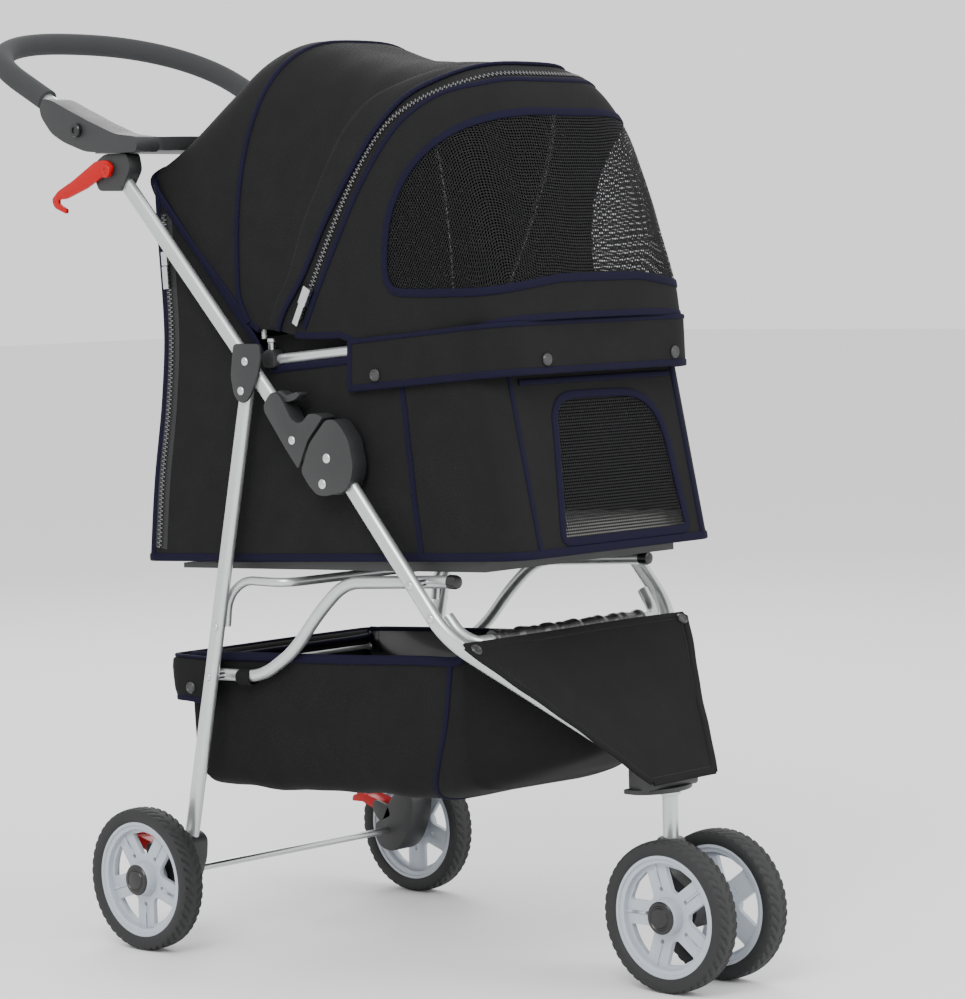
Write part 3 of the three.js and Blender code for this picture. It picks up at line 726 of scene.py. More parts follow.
def cloth_sheet(made, body, nodes=()):
    modify(made, "SOLIDIFY", thickness=CLOTH_THICK * MM, offset=0, use_even_offset=True)
    shade(made, CLOTH_SMOOTH)
    if body:
        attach(made, body)
    if nodes:
        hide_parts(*nodes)
    return made


def ripple(p, size):
    """Small soft unevenness of hanging cloth, in millimetres."""
    x, y, z = p
    return size * (0.5 * math.sin(y / 31 + z / 47 + x / 90) + 0.3 * math.sin(y / 17 - z / 23 + x / 60)
                   + 0.2 * math.sin(y / 9.5 + z / 15 - x / 44))


# ------------------------------------------------------------------ wheels

SPOKES, TREADS, TREAD_STEPS = 5, 46, 6
TYRE_HALF = 13.5


def tyre(name, x, axle):
    """A solid tyre with slanting tread grooves either side of a plain middle rib."""
    half, inner = TYRE_HALF, WHEEL_RADIUS - 15
    shape = ((inner, 3.5), (inner + 2, 1.2), (inner + 6, 0.2), (inner + 9, 0), (WHEEL_RADIUS - 3.2, 0.6))
    steps = TREADS * TREAD_STEPS
    verts = []
    for i in range(steps):
        a = 2 * math.pi * i / steps
        ring = [(r, inset - half) for r, inset in shape]
        for k in range(13):
            h = -half + 1.2 + (2 * half - 2.4) * k / 12
            phase = (i / TREAD_STEPS + abs(h) / 9) % 1
            groove = 1.5 if abs(h) > 3.6 and phase < 0.34 else 0
            ring.append((WHEEL_RADIUS - 2.0 * (abs(h) / half) ** 3 - groove, h))
        ring += [(r, half - inset) for r, inset in reversed(shape)]
        verts += [(x + h, axle[0] + r * math.cos(a), axle[1] + r * math.sin(a)) for r, h in ring]
    faces = grid_faces(steps, len(verts) // steps, closed_rows=True, closed_columns=True)
    return build(name, verts, faces, "tyre rubber", smooth=38)


def window_cutter(x, axle, angle):
    """A rounded three-cornered prism, point inwards, through a rim's face."""
    corners = ((25, 3.4), (46, 18.5), (49.5, 0), (46, -18.5), (25, -3.4))
    ring = round_outline([(r * math.cos(angle) - w * math.sin(angle), r * math.sin(angle) + w * math.cos(angle))
                          for r, w in corners], 3.2)
    verts, faces = ring_loft([[(h, axle[0] + p[0], axle[1] + p[1]) for p in ring] for h in (x - 9, x + 9)])
    return build("cutter", verts, faces, "rim plastic")


def hole_cutter(x, axle, angle):
    centre = (axle[0] + 27 * math.cos(angle), axle[1] + 27 * math.sin(angle))
    return lathe("cutter", [(0, -9), (2.3, -9), (2.3, 9), (0, 9)], x, centre, "rim plastic", 14)


def rim(name, x, axle, side, turn):
    """A rim with five windows, its lip, its hub and the ribs on its spokes."""
    out = WHEEL_RADIUS - 15.2
    face = lathe(name, [(0, -2.6), (out - 5, -2.6), (out - 5, 2.6), (0, 2.6)], x, axle, "rim plastic", 80)
    for i in range(SPOKES):
        angle = turn + 2 * math.pi * i / SPOKES
        carve(face, window_cutter(x, axle, angle), hole_cutter(x, axle, angle + math.pi / SPOKES))
    soften(face, 0.7, 2, 35)
    lip = [(out - 7, -8), (out - 3, -8.8), (out - 2.2, -10.6), (out, -10.8), (out + 1.6, -10.2), (out, -8.6),
           (out, 8.6), (out + 1.6, 10.2), (out, 10.8), (out - 2.2, 10.6), (out - 3, 8.8), (out - 7, 8),
           (out - 7.6, 3), (out - 7.6, -3), (out - 7, -8)]
    band = lathe("lip", lip, x, axle, "rim plastic", 80)
    hub = lathe("hub", [(4.2, -14), (16.4, -14), (17.2, -13), (17.6, -8), (18.6, -3), (18.6, 3), (17.6, 8),
                        (17.2, 13), (16.4, 14), (4.2, 14), (4.2, -14)], x, axle, "rim plastic", 48)
    ridges = []
    for i in range(SPOKES):
        angle = turn + math.pi / SPOKES + 2 * math.pi * i / SPOKES
        along = Vector((0, math.cos(angle), math.sin(angle)))
        start = Vector((x, *axle)) + along * 35
        ridges += [(start + along * r + Vector((side * 2.4, 0, 0)), along, Vector((1, 0, 0))) for r in (0, 12)]
    rib = blocks("ribs", ridges, (12, 3, 3), "rim plastic")
    soften(rib, 0.6, 1)
    return joined(name, [face, band, hub, rib])


def cap(name, x, axle, side):
    """The pressed cap over the axle's end."""
    profile = [(0, 14.2), (16, 14.2), (16.2, 15), (15.2, 16.2), (12.4, 16.6), (11.6, 15.8), (10.2, 15.8),
               (9.4, 16.9), (5, 17.4), (0, 17.5)]
    return lathe(name, profile, x, axle, "cap black", 48, side)


def make_wheel(end, name, x, axle, side, turn):
    node = f"{end}_wheel_{name}"
    hold(tyre(f"{node}_tread", x, axle), node, "tyre_rubber", node + "_tyre")
    hold(rim(f"{node}_spokes", x, axle, side, turn), node, "rim_plastic", node + "_rim")
    hold(cap(f"{node}_cap", x, axle, side), node, "hub_black", node + "_hubcap")


def make_wheels():
    for name, s in SIDES:
        make_wheel("front", name, s * FRONT_WHEEL_X, FRONT_AXLE, s, math.radians(36))
        make_wheel("rear", name, s * REAR_WHEEL_X, REAR_AXLE, s, math.radians(18))
    for node, half, axle, body in (("front_axle", FRONT_WHEEL_X + TYRE_HALF, FRONT_AXLE, "caster"),
                                   ("rear_axle", REAR_WHEEL_X + TYRE_HALF, REAR_AXLE, "rear_frame")):
        line = [(-half, *axle), (0, *axle), (half, *axle)]
        hold(tube(node + "_rod", line, circle(3.9, 24), "zinc steel"), body, "axle_steel", node)


# ------------------------------------------------------------------ caster


def make_caster():
    outline = ((-270, 138), (-274, 112), (-300, 97), (-308, 78), (-300, 61), (-284, 56), (-270, 66),
               (-262, 84), (-247, 104), (-247, 138))
    head = slab("caster_fork", outline, -20, 20, "shell plastic", 8, 2.2)
    collar = lathe_up("collar", [(0, 130), (13.5, 130), (14.5, 134), (14.5, 141), (12, 144), (0, 144)], "shell plastic")
    hold(joined("caster_fork", [head, collar]), "caster", "dark_plastic", "caster_head")
    stem = lathe_up("caster_post", [(0, 110), (7.8, 110), (7.8, 186), (10.5, 187), (10.5, 189.6), (5, 189.6),
                                    (5, 211), (0, 211)], "silver paint")
    hold(stem, "caster", "silver_tube", "caster_stem")


def lathe_up(name, profile, finish, centre=None, steps=48):
    """A turned piece about an upright axis: the profile is (radius, height)."""
    x, y = centre or (0, STEM_Y)
    verts = []
    for i in range(steps):
        a = 2 * math.pi * i / steps
        verts += [(x + r * math.cos(a), y + r * math.sin(a), z) for r, z in profile]
    return build(name, verts, grid_faces(steps, len(profile), closed_rows=True), finish, 35)


# ------------------------------------------------------------------ tubes

OVAL = flat_oval(11, 17)
OVAL_ROOM = flat_oval(11.7, 17.7)
OVAL_SIDE = 5.5  # from the tube's middle to its flat side
FRONT_LEG = ((LEG_X, 38, 530), (LEG_X, -120, 348), (24, -249, 216))
LEG_TOP = (153, 588)
LEG_FOOT = (261.9, 97)
FOLD_PIVOT = (37, 496)
UPRIGHT_TOP = (352.5, 829)


def mirrored(points, s):
    return [(s * p[0], p[1], p[2]) for p in points]


def both_sides(half):
    """A line given on the right side up to the middle, carried over to the left."""
    return [(-x, y, z) for x, y, z in half] + [(x, y, z) for x, y, z in reversed(half)]


def step_from(a, b, distance):
    """The point past a, away from b, in the side plane."""
    length = math.hypot(a[0] - b[0], a[1] - b[1])
    return (a[0] + (a[0] - b[0]) * distance / length, a[1] + (a[1] - b[1]) * distance / length)


def bracket_plan():
    arc = [(42 * math.cos(a), -244 - 26 * math.sin(a)) for a in (math.pi * i / 24 for i in range(25))]
    return arc + [(-42, -234), (42, -234)]


def make_front_frame():
    for name, s in SIDES:
        line = arc_corners(mirrored(FRONT_LEG, s), 28, 12)
        leg = tube(f"front_leg_tube_{name}", line, OVAL, "silver paint")
        hold(leg, "front_frame", "silver_tube", f"front_leg_{name}")
        for n, (y, z) in enumerate(((-76, 399), (-103, 368))):
            head = pin_head(f"front_leg_rivet_{name}_{n + 1}", s * (LEG_X + OVAL_SIDE), y, z, s, 4.6)
            hold(head, "front_frame", "axle_steel")
    base = bracket_plan()
    verts, faces = ring_loft([[(x, y, z) for x, y in base] for z in (190, 195)])
    plate = soften(build("plate", verts, faces, "shell plastic"), 1.2)
    block = slab("block", ((-264, 193), (-264, 211), (-247, 226), (-237, 226), (-237, 193)), -38, 38,
                 "shell plastic", 4, 2)
    hold(joined("fork_bracket_casting", [plate, block]), "front_frame", "dark_plastic", "fork_bracket")
    half = ((148, -103, 368), (146, -116, 352), (136, -128, 342.5))
    bar = tube("basket_bar", arc_corners(both_sides(half), 20, 8), circle(6, settings().tube_sides), "silver paint")
    hold(bar, "front_frame", "silver_tube", "basket_front_tube")


def make_rear_frame():
    top = step_from(LEG_TOP, LEG_FOOT, 3)
    for name, s in SIDES:
        line = [(s * LEG_X, *LEG_FOOT), (s * LEG_X, *top)]
        leg = tube(f"rear_leg_tube_{name}", line, OVAL, "silver paint")
        hold(leg, "rear_frame", "silver_tube", f"rear_leg_{name}")
        for n, (y, z) in enumerate(((219, 289), (206, 342))):
            head = pin_head(f"rear_leg_rivet_{name}_{n + 1}", s * (LEG_X + OVAL_SIDE), y, z, s, 4.2)
            hold(head, "rear_frame", "axle_steel")
        make_brake(name, s)
    half = ((157, 206, 342), (157, 202, 372), (157, 178, 391), (157, 116, 391))
    bar = tube("floor_bar", arc_corners(both_sides(half), 24, 8), circle(4.7, settings().tube_sides), "silver paint")
    hold(bar, "cross_tube", "silver_tube", "rear_cross_tube")


def make_brake(name, s):
    body = ((246, 116), (259, 124), (277, 118), (290, 99), (295, 88), (306, 83), (308, 68), (299, 55), (284, 51),
            (268, 57), (257, 72), (248, 94))
    shell = slab(f"brake_shell_{name}", body, *spread(s, 154, 187), "shell plastic", 8, 2.4)
    lug = ((280, 92), (298, 84), (309, 96), (310, 104), (304, 109), (296, 107), (284, 104))
    ears = [slab("ear", lug, *spread(s, a, b), "shell plastic", 4, 1) for a, b in ((154, 158), (183, 187))]
    hold(joined(f"brake_shell_{name}", [shell, *ears]), "rear_frame", "dark_plastic", f"brake_housing_{name}")
    pedal = ((297, 98), (300, 106), (309, 109), (330, 114), (345, 110), (347, 103), (330, 103.5), (312, 97),
             (303, 94.5))
    press = slab(f"brake_lever_{name}", pedal, *spread(s, 159, 182), "red plastic", 2.5, 1.4)
    ribs = [(Vector((s * x, 333, 113.6)), Vector((0, 1, -0.2)).normalized(), Vector((0, 0.2, 1)).normalized())
            for x in (163, 167, 171, 175, 179)]
    grip = blocks("ribs", ribs, (18, 1.4, 2), "red plastic")
    hold(joined(f"brake_lever_{name}", [press, grip]), f"brake_pedal_{name}", "red_plastic", f"brake_pedal_{name}")


def make_seat_frame():
    half = ((145, -105, 402), (145, 42, 394), (145, 80, 362), (145, 120, 318), (145, 168, 290), (145, 290, 287))
    line = arc_corners(both_sides(half), 22, 7)
    bar = tube("seat_bar", line, circle(6.5, settings().tube_sides), "silver paint")
    hold(bar, "seat", "silver_tube", "seat_frame")
    for name, s in SIDES:
        end = [(s * 145, y, 402) for y in (-104.5, -106, -112, -115, -116)]
        plug = tube(f"seat_plug_{name}", end, circle(7.2, 24), "cap black",
                    swell=lambda t: 1 if t < 0.75 else (0.86 if t < 0.99 else 0.5))
        hold(plug, "seat", "dark_plastic", f"seat_cap_{name}")
        for n, (y, z) in enumerate(((-76, 400.5), (219, 289))):
            pin = tube(f"seat_pin_{name}_{n + 1}", [(s * 151, y, z), (s * 157, y, z), (s * 162.4, y, z)],
                       circle(3.2, 16), "zinc steel")
            hold(pin, "seat", "axle_steel")


def make_uprights():
    foot = step_from(FOLD_PIVOT, UPRIGHT_TOP, 3)
    for name, s in SIDES:
        line = [(s * LEG_X, *foot), (s * LEG_X, *UPRIGHT_TOP)]
        hold(tube(f"upright_{name}", line, OVAL, "silver paint"), "handle_frame", "silver_tube", f"upper_tube_{name}")


# ------------------------------------------------------------------ fold joint

KNUCKLE = ((30, 560.5), (18, 561), (9, 554), (-1, 541), (-7, 516), (-4, 502), (6, 489), (34, 484), (45, 485),
           (57, 495), (67, 508), (53.5, 537))
KNUCKLE_ROOM = ((36, 580), (24, 556), (19, 555.5), (12, 549), (3.5, 538), (-2.5, 515), (1, 504), (10, 493),
                (20, 490), (24, 470), (120, 470), (120, 600))
LATCH = ((114, 581), (108, 586.5), (102, 587.5), (96, 584), (89, 575), (80, 561), (71, 556.5), (63, 558),
         (55, 566), (44, 566.5), (34, 563), (56.5, 539.5), (71, 510), (90, 532), (118, 567), (119, 574))
FINGER_HOOK = ((103, 585), (100, 589.5), (88, 584), (73, 588), (69, 585), (76, 580), (88, 577), (95, 579))
SHELL_SIDES = (158.5, 178.5)
SHELL_FACE = 178.3
HINGE_PLATE = ((163, 636), (124, 636), (123, 622), (127, 606), (140, 582), (149, 575), (158, 577), (164, 584),
               (168, 603))


def make_fold_joint():
    for name, s in SIDES:
        shell = slab(f"knuckle_shell_{name}", KNUCKLE, *spread(s, *SHELL_SIDES), "shell plastic", 5, 0)
        verts, faces = ring_loft([[(x, *p) for p in KNUCKLE_ROOM] for x in spread(s, 162, 174.5)])
        leg = tube("cutter", arc_corners(mirrored(FRONT_LEG, s), 28, 12), OVAL_ROOM, "shell plastic")
        carve(shell, build("cutter", verts, faces, "shell plastic"), leg)
        soften(shell, 1.3)
        hold(shell, "front_frame", "dark_plastic", f"fold_knuckle_{name}")
        for n, (y, z) in enumerate(((30, 522), FOLD_PIVOT)):
            hold(pin_head(f"knuckle_rivet_{name}_{n + 1}", s * SHELL_FACE, y, z, s, 5.2), "front_frame", "axle_steel")
        latch = slab(f"latch_shell_{name}", LATCH, *spread(s, *SHELL_SIDES), "shell plastic", 3.5, 0)
        line = [(s * LEG_X, *step_from(FOLD_PIVOT, UPRIGHT_TOP, 40)), (s * LEG_X, *UPRIGHT_TOP)]
        carve(latch, tube("cutter", line, OVAL_ROOM, "shell plastic"))
        soften(latch, 1.5)
        hook = slab("hook", FINGER_HOOK, *spread(s, 161.5, 175.5), "shell plastic", 2.5, 1.2)
        hold(joined(f"latch_shell_{name}", [latch, hook]), f"fold_latch_{name}", "dark_plastic", f"fold_latch_{name}")
        hold(pin_head(f"latch_rivet_{name}", s * SHELL_FACE, 79, 539, s, 4.6), f"fold_latch_{name}", "axle_steel")
        plate = slab(f"hinge_cheek_{name}", HINGE_PLATE, *spread(s, 173.9, 177.4), "shell plastic", 5, 1)
        hold(plate, "handle_frame", "dark_plastic", f"hinge_plate_{name}")
        for n, (y, z) in enumerate(((146, 618), LEG_TOP)):
            head = pin_head(f"cheek_rivet_{name}_{n + 1}", s * 177.3, y, z, s, 4.6)
            hold(head, "handle_frame", "axle_steel")


# ------------------------------------------------------------------ handle and tray

HANDLE_BASE = Vector((452, 893))
HANDLE_WAY = Vector((math.cos(math.radians(27.3)), math.sin(math.radians(27.3))))
HANDLE_X, HANDLE_STRAIGHT, HANDLE_REACH = 163, 56, 166


def handle_line(start, steps=56):
    points = []
    for i in range(steps + 1):
        a = math.pi * i / steps
        c = math.cos(a)
        reach = HANDLE_STRAIGHT + (HANDLE_REACH - HANDLE_STRAIGHT) * math.sin(a) ** 0.86
        points.append((-HANDLE_X * math.copysign(abs(c) ** 0.86, c), *(HANDLE_BASE + HANDLE_WAY * reach)))
    ends = [(x, *(HANDLE_BASE + HANDLE_WAY * start)) for x in (-HANDLE_X, HANDLE_X)]
    return [ends[0], *points, ends[1]]


def make_handle():
    bar = tube("handle_tube", handle_line(-38), circle(8, settings().tube_sides), "silver paint")
    hold(bar, "handle_frame", "silver_tube", "handle_bar")
    line = handle_line(9)
    nose = [Vector(line[0]) + (Vector(line[0]) - Vector(line[1])).normalized() * d for d in (1.6, 1.0)]
    tail = [Vector(line[-1]) + (Vector(line[-1]) - Vector(line[-2])).normalized() * d for d in (1.0, 1.6)]
    ends = 1.5 / (len(line) + 4)
    grip = tube("grip_sleeve", [*nose, *line, *tail], circle(12, 32), "grip foam",
                swell=lambda t: 0.9 if min(t, 1 - t) < ends * 0.5 else 1)
    hold(grip, "handle_frame", "foam", "foam_grip")


ARM = ((296, 852), (296, 836), (340, 836), (378, 839), (412, 850), (432, 860), (448, 878), (451, 888),
       (445, 898), (432, 896), (406, 885), (366, 869), (330, 856))
CUP_X, CUP_Y, CUP_R = 84, 352, 37
TRAY_LOW, TRAY_HIGH = 838, 852
ARM_SIDES, BRACKET_SIDES, HOOK_SIDES = (150, 182), (158, 177), (-182.4, -178.1)


def make_tray():
    plan = round_outline(((-158, 296), (158, 296), (158, 390), (140, 410), (-140, 410), (-158, 390)), 14, 6)
    verts, faces = ring_loft([[(p[0], p[1], z) for p in plan] for z in (TRAY_LOW, TRAY_HIGH)])
    tray = build("parent_tray", verts, faces, "tray plastic")
    arms = [slab("arm", ARM, *spread(s, *ARM_SIDES), "tray plastic", 7, 0) for _, s in SIDES]
    for arm in arms:
        modify(tray, "BOOLEAN", object=arm, operation="UNION", solver="EXACT")
        bpy.data.objects.remove(arm)
    for _, s in SIDES:
        well = [(0, 842), (CUP_R - 2, 842), (CUP_R, 844), (CUP_R, 866), (0, 866)]
        carve(tray, lathe_up("cutter", well, "tray plastic", (s * CUP_X, CUP_Y), 64))
    soften(tray, 1.8, 3)
    lips = [lathe_up("lip", [(CUP_R + 0.2, 851.5), (CUP_R + 0.6, 853.2), (CUP_R + 3.4, 853.4), (CUP_R + 4.4, 851.5)],
                     "tray plastic", (s * CUP_X, CUP_Y), 64) for _, s in SIDES]
    hold(joined("parent_tray", [tray, *lips]), "handle_frame", "dark_plastic", "cup_tray")
    bracket = ((314, 818), (330, 796), (364, 797), (371, 812), (368, 828), (354, 835.6), (318, 835.6))
    for name, s in SIDES:
        socket = slab(f"tray_socket_{name}", bracket, *spread(s, *BRACKET_SIDES), "shell plastic", 5, 0)
        line = [(s * LEG_X, *FOLD_PIVOT), (s * LEG_X, *step_from(UPRIGHT_TOP, FOLD_PIVOT, 0.4))]
        carve(socket, tube("cutter", line, OVAL_ROOM, "shell plastic"))
        soften(socket, 1.6)
        hold(socket, "handle_frame", "dark_plastic", f"tray_bracket_{name}")
        profile = [(0, 0.35), (7.5, 0.35), (7.5, 4.2), (6.4, 5.6), (3.2, 5.6), (2.8, 4.2), (0, 4.2)]
        bolt = lathe(f"bolt_head_{name}", profile, s * ARM_SIDES[1], (389, 862), "cap black", 24, s)
        hold(bolt, "handle_frame", "dark_plastic", f"clamp_bolt_{name}")
    outline = ((336, 822), (344, 829), (362, 828.5), (400, 809), (424, 799), (435, 790), (431, 781), (412, 774),
               (411, 779), (424, 785.5), (424, 789.5), (412, 790), (379, 800), (352, 812), (341, 811))
    hook = slab("carry_hook", outline, *HOOK_SIDES, "red plastic", 4, 1.3)
    boss = lathe("boss", [(0, 0), (7.5, 0), (7.5, 2.4), (6.5, 3.2), (3.4, 3.2), (2.6, 2.2), (0, 2.2)],
                 -181.5, (345, 818), "red plastic", 28, -1)
    hold(joined("carry_hook", [hook, boss]), "transport_hook", "red_plastic", "transport_hook")


# ------------------------------------------------------------------ bows and rim

SHOULDER = 0.62
RIM_X, RIM_REAR, RIM_FRONT = 148, (127, 619), (-171, 645)


def arch_point(foot, apex, half, a, shoulder=SHOULDER):
    """A point of a bow from foot to foot; a smaller shoulder makes it squarer."""
    c = math.cos(a)
    rise = max(math.sin(a), 0) ** shoulder
    return Vector((-half * math.copysign(abs(c) ** shoulder, c),
                   foot[0] + (apex[0] - foot[0]) * rise, foot[1] + (apex[1] - foot[1]) * rise))


def even_angles(count, ease=1.7):
    """Angles over the arch, closer together near its feet, where its sides stand upright."""
    out = []
    for i in range(count + 1):
        t = 2 * i / count - 1
        out.append(math.pi / 2 * (1 + math.copysign(1 - (1 - abs(t)) ** ease, t)))
    return out


def make_bows():
    for node, body, foot, apex in (("mid_bow", "mid_bow", (152, 640), (166.6, 938)),
                                   ("front_bow", "front_bow", (96, 645), (-49.6, 906.1))):
        line = [arch_point(foot, apex, 143, a) for a in even_angles(64)]
        hold(tube(node + "_rod", line, circle(3, 14), "silver paint"), body, "silver_tube", node)
    half = ((RIM_X, *RIM_REAR), (RIM_X, *RIM_FRONT))
    bar = tube("rim_bar", arc_corners(both_sides(half), 46, 10), circle(5.5, settings().tube_sides), "silver paint")
    hold(bar, "hood_rim", "silver_tube", "rim_tube")
    for name, s in SIDES:
        clip = ((122, 611), (140, 611), (141, 625), (134, 630), (124, 629))
        block = slab(f"rim_clip_{name}", clip, *spread(s, 142.5, 158), "shell plastic", 4, 1.6)
        stud = lathe_up("stud", [(0, 626), (3.4, 626), (3.4, 636), (4.6, 637), (4.6, 640.5), (0, 641)], "zinc steel",
                        (s * 153, 131), 20)
        hold(joined(f"rim_clip_{name}", [block, stud]), "hood_rim", "dark_plastic")


# ------------------------------------------------------------------ cloth tools


LAST_SHARE = 0.999999
CORNER_BLEND = 9.0


def ramp(t):
    """t kept between nought and one."""
    return min(max(t, 0), 1)


def reached(t, count):
    """How many of a line's steps share t has passed, always short of its last point."""
    return min(max(t, 0), LAST_SHARE) * count


def eased(table, t):
    """A smooth curve through (key, value) pairs."""
    last = len(table) - 1
    t = min(max(t, table[0][0]), table[last][0])
    i = max(k for k in range(last) if table[k][0] <= t)

    def slope(k):
        a, b = table[max(k - 1, 0)], table[min(k + 1, last)]
        return (b[1] - a[1]) / (b[0] - a[0])

    width = table[i + 1][0] - table[i][0]
    x = (t - table[i][0]) / width
    a, b = slope(i) * width, slope(i + 1) * width
    return ((2 * x ** 3 - 3 * x ** 2 + 1) * table[i][1] + (x ** 3 - 2 * x ** 2 + x) * a
            + (3 * x ** 2 - 2 * x ** 3) * table[i + 1][1] + (x ** 3 - x ** 2) * b)


def straight(table, t):
    """The value at t on straight lines between (key, value) pairs."""
    t = min(max(t, table[0][0]), table[-1][0])
    for (t0, v0), (t1, v1) in zip(table, table[1:]):
        if t <= t1:
            return v0 + (v1 - v0) * (t - t0) / (t1 - t0)
    return table[-1][1]


def least(values):
    """The least of several distances, rounded where two of them are alike."""
    low = min(values)
    return low - CORNER_BLEND * math.log(sum(math.exp((low - v) / CORNER_BLEND) for v in values))


def inside_by(outline, x, z):
    """How far a point lies inside a closed outline, below zero outside it."""
    best, inside = 1e9, False
    for (x0, z0), (x1, z1) in zip(outline, outline[1:] + outline[:1]):
        dx, dz = x1 - x0, z1 - z0
        t = ramp(((x - x0) * dx + (z - z0) * dz) / (dx * dx + dz * dz))
        best = min(best, math.hypot(x - x0 - dx * t, z - z0 - dz * t))
        if (z0 > z) != (z1 > z) and x < x0 + (z - z0) * dx / dz:
            inside = not inside
    return best if inside else -best


def even(low, high, count):
    """Even steps from low to high, both included."""
    return [low + (high - low) * i / count for i in range(count + 1)]


def outward(point, u, v, centre):
    """A surface's direction away from the centre."""
    n = surface_normal(point, u, v)
    return n if n.dot(Vector(point(u, v)) - centre) > 0 else -n


def traced(point, curve, centre, lift=0.0):
    """The points of a curve on a surface, and the surface's outward direction at each."""
    points, normals = [], []
    for u, v in curve:
        n = outward(point, u, v, centre)
        points.append(Vector(point(u, v)) + n * lift)
        normals.append(n)
    return points, normals


def vertex_normals(verts, faces, centre):
    found = [Vector() for _ in verts]
    for face in faces:
        n = (verts[face[1]] - verts[face[0]]).cross(verts[face[2]] - verts[face[0]])
        for i in face:
            found[i] += n
    out = []
    for p, n in zip(verts, found):
        n = n.normalized()
        out.append(n if n.dot(p - centre) > 0 else -n)
    return out


def flat_pattern(verts, rows, columns):
    """Each grid point's place on the cloth laid flat, in metres."""
    uv = []
    for i in range(rows):
        run, across = 0.0, [0.0]
        for j in range(1, columns):
            run += (verts[i * columns + j] - verts[i * columns + j - 1]).length
            across.append(run)
        half = across[columns // 2]
        for j in range(columns):
            down = 0.0 if i == 0 else uv[(i - 1) * columns + j][1] / MM + (
                verts[i * columns + j] - verts[(i - 1) * columns + j]).length
            uv.append(((across[j] - half) * MM, down * MM))
    return uv


def grid_cloth(name, point, rows, columns, finish):
    verts = [Vector(point(u, v)) for u in rows for v in columns]
    return build(name, verts, grid_faces(len(rows), len(columns)), finish, smooth=CLOTH_SMOOTH)


def windowed(name, point, field, rows, columns, finish, centre):
    """Cloth with a net window where field is above zero. Returns the cloth, the net and the binding."""
    verts, inside, outside, edge = cut_surface(point, field, rows, columns)
    uv = flat_pattern(verts, len(rows), len(columns))
    normals = vertex_normals(verts, inside + outside, centre)
    made = []
    for label, faces, stuff in (("cloth", outside, finish), ("net", inside, "window net")):
        points, kept, pattern = only(verts, faces, uv)
        made.append(build(f"{name}_{label}", points, kept, stuff, smooth=CLOTH_SMOOTH, uv=pattern))
    line = [verts[i] for i in edge]
    closed = edge[0] == edge[-1]
    if closed:
        line = line[:-1]
    line = smoothed(line, 4, closed)
    binding = ribbon(name + "_binding", line, [normals[i] for i in edge[:len(line)]],
                     settings().binding_width / MM, 2.4, "edge tape", closed, lift=0.8)
    return made[0], made[1], binding


def turned_on(name, centre, normal, profile, finish, steps=28):
    """A turned piece standing on a surface: the profile is (radius, height)."""
    normal = Vector(normal).normalized()
    side = normal.orthogonal().normalized()
    up = normal.cross(side)
    verts = []
    for i in range(steps):
        a = 2 * math.pi * i / steps
        way = side * math.cos(a) + up * math.sin(a)
        verts += [Vector(centre) + way * r + normal * h for r, h in profile]
    return build(name, verts, grid_faces(steps, len(profile), closed_rows=True), finish, 35)


def snap(name, centre, normal):
    return turned_on(name, centre, normal, [(0, 0), (6.2, 0), (6.4, 1.2), (5.4, 2.6), (4.4, 2.7), (3.8, 2.0),
                                            (2.0, 1.9), (0, 1.9)], "snap grey")


def slider(name, centre, along, normal, body=(15, 9, 5)):
    """A zip's slider with its hanging tab."""
    along, normal = Vector(along).normalized(), Vector(normal).normalized()
    pull = Vector(centre) - along * 12 + normal * 4.5
    block = soften(blocks(name, [(Vector(centre) + normal * 2.5, along, normal)], body, "zinc steel"), 1.2)
    tab = soften(blocks("tab", [(pull - along * 8, along, normal)], (24, 8, 1.6), "zinc steel"), 0.7)
    return joined(name, [block, tab])


# ------------------------------------------------------------------ cabin

FRONT_LINE = ((430, -201), (601, -163))
REAR_LINE = ((406, 336), (412, 336), (490, 326), (575, 310), (649, 303), (752, 309), (815, 312))
TOP_LINE = ((-163, 636), (118, 611), (130, 609), (146, 622), (160, 642), (296, 790), (306, 803), (313, 806))
CABIN_HALF, CABIN_DEEP = 150.6, 500
FLOOR_FRONT, FLOOR_DROP = 430, 24  # the floor's height at the front and its fall to the rear
WING_Z, WING_FOLD = 640, 0.15
CABIN_CENTRE = Vector((0, 70, 560))
CABIN_TOPS = {}
WINDOW_PIPING = ((-106, 596), (122, 596))
LOWER_WINDOW = ((-83, 439), (-74, 490), (-65, 545), (-63, 562), (-54, 576), (-40, 581), (35, 581), (62, 579),
                (82, 570), (95, 553), (101, 530), (103, 495), (108, 439))


def cabin_depth(q, z):
    """The wall's y at share q from the front to the rear and height z."""
    front = straight(FRONT_LINE, z)
    return front + q * (eased(REAR_LINE, z) - front)


def cabin_top(q):
    """The height of the wall's top edge, where the wall meets the top line."""
    key = round(q, 4)
    if key not in CABIN_TOPS:
        z = 640.0
        for _ in range(60):
            z = 0.6 * z + 0.4 * straight(TOP_LINE, cabin_depth(q, z))
        CABIN_TOPS[key] = z
    return CABIN_TOPS[key]


def cabin_wall(x, q, v):
    """A point of the cabin's wall: q from the front to the rear, v from the floor to the top edge."""
    foot = FLOOR_FRONT - FLOOR_DROP * q
    z = foot + (cabin_top(q) - foot) * v
    y = cabin_depth(q, z)
    soft = math.sin(math.pi * min(v, 1)) * min(q, 1 - q, 0.25) * 4
    if abs(x) > 100:
        x += math.copysign(ripple((x, y, z), 1.6) * soft - 0.8 * soft, x)
    return Vector((x, y, z))


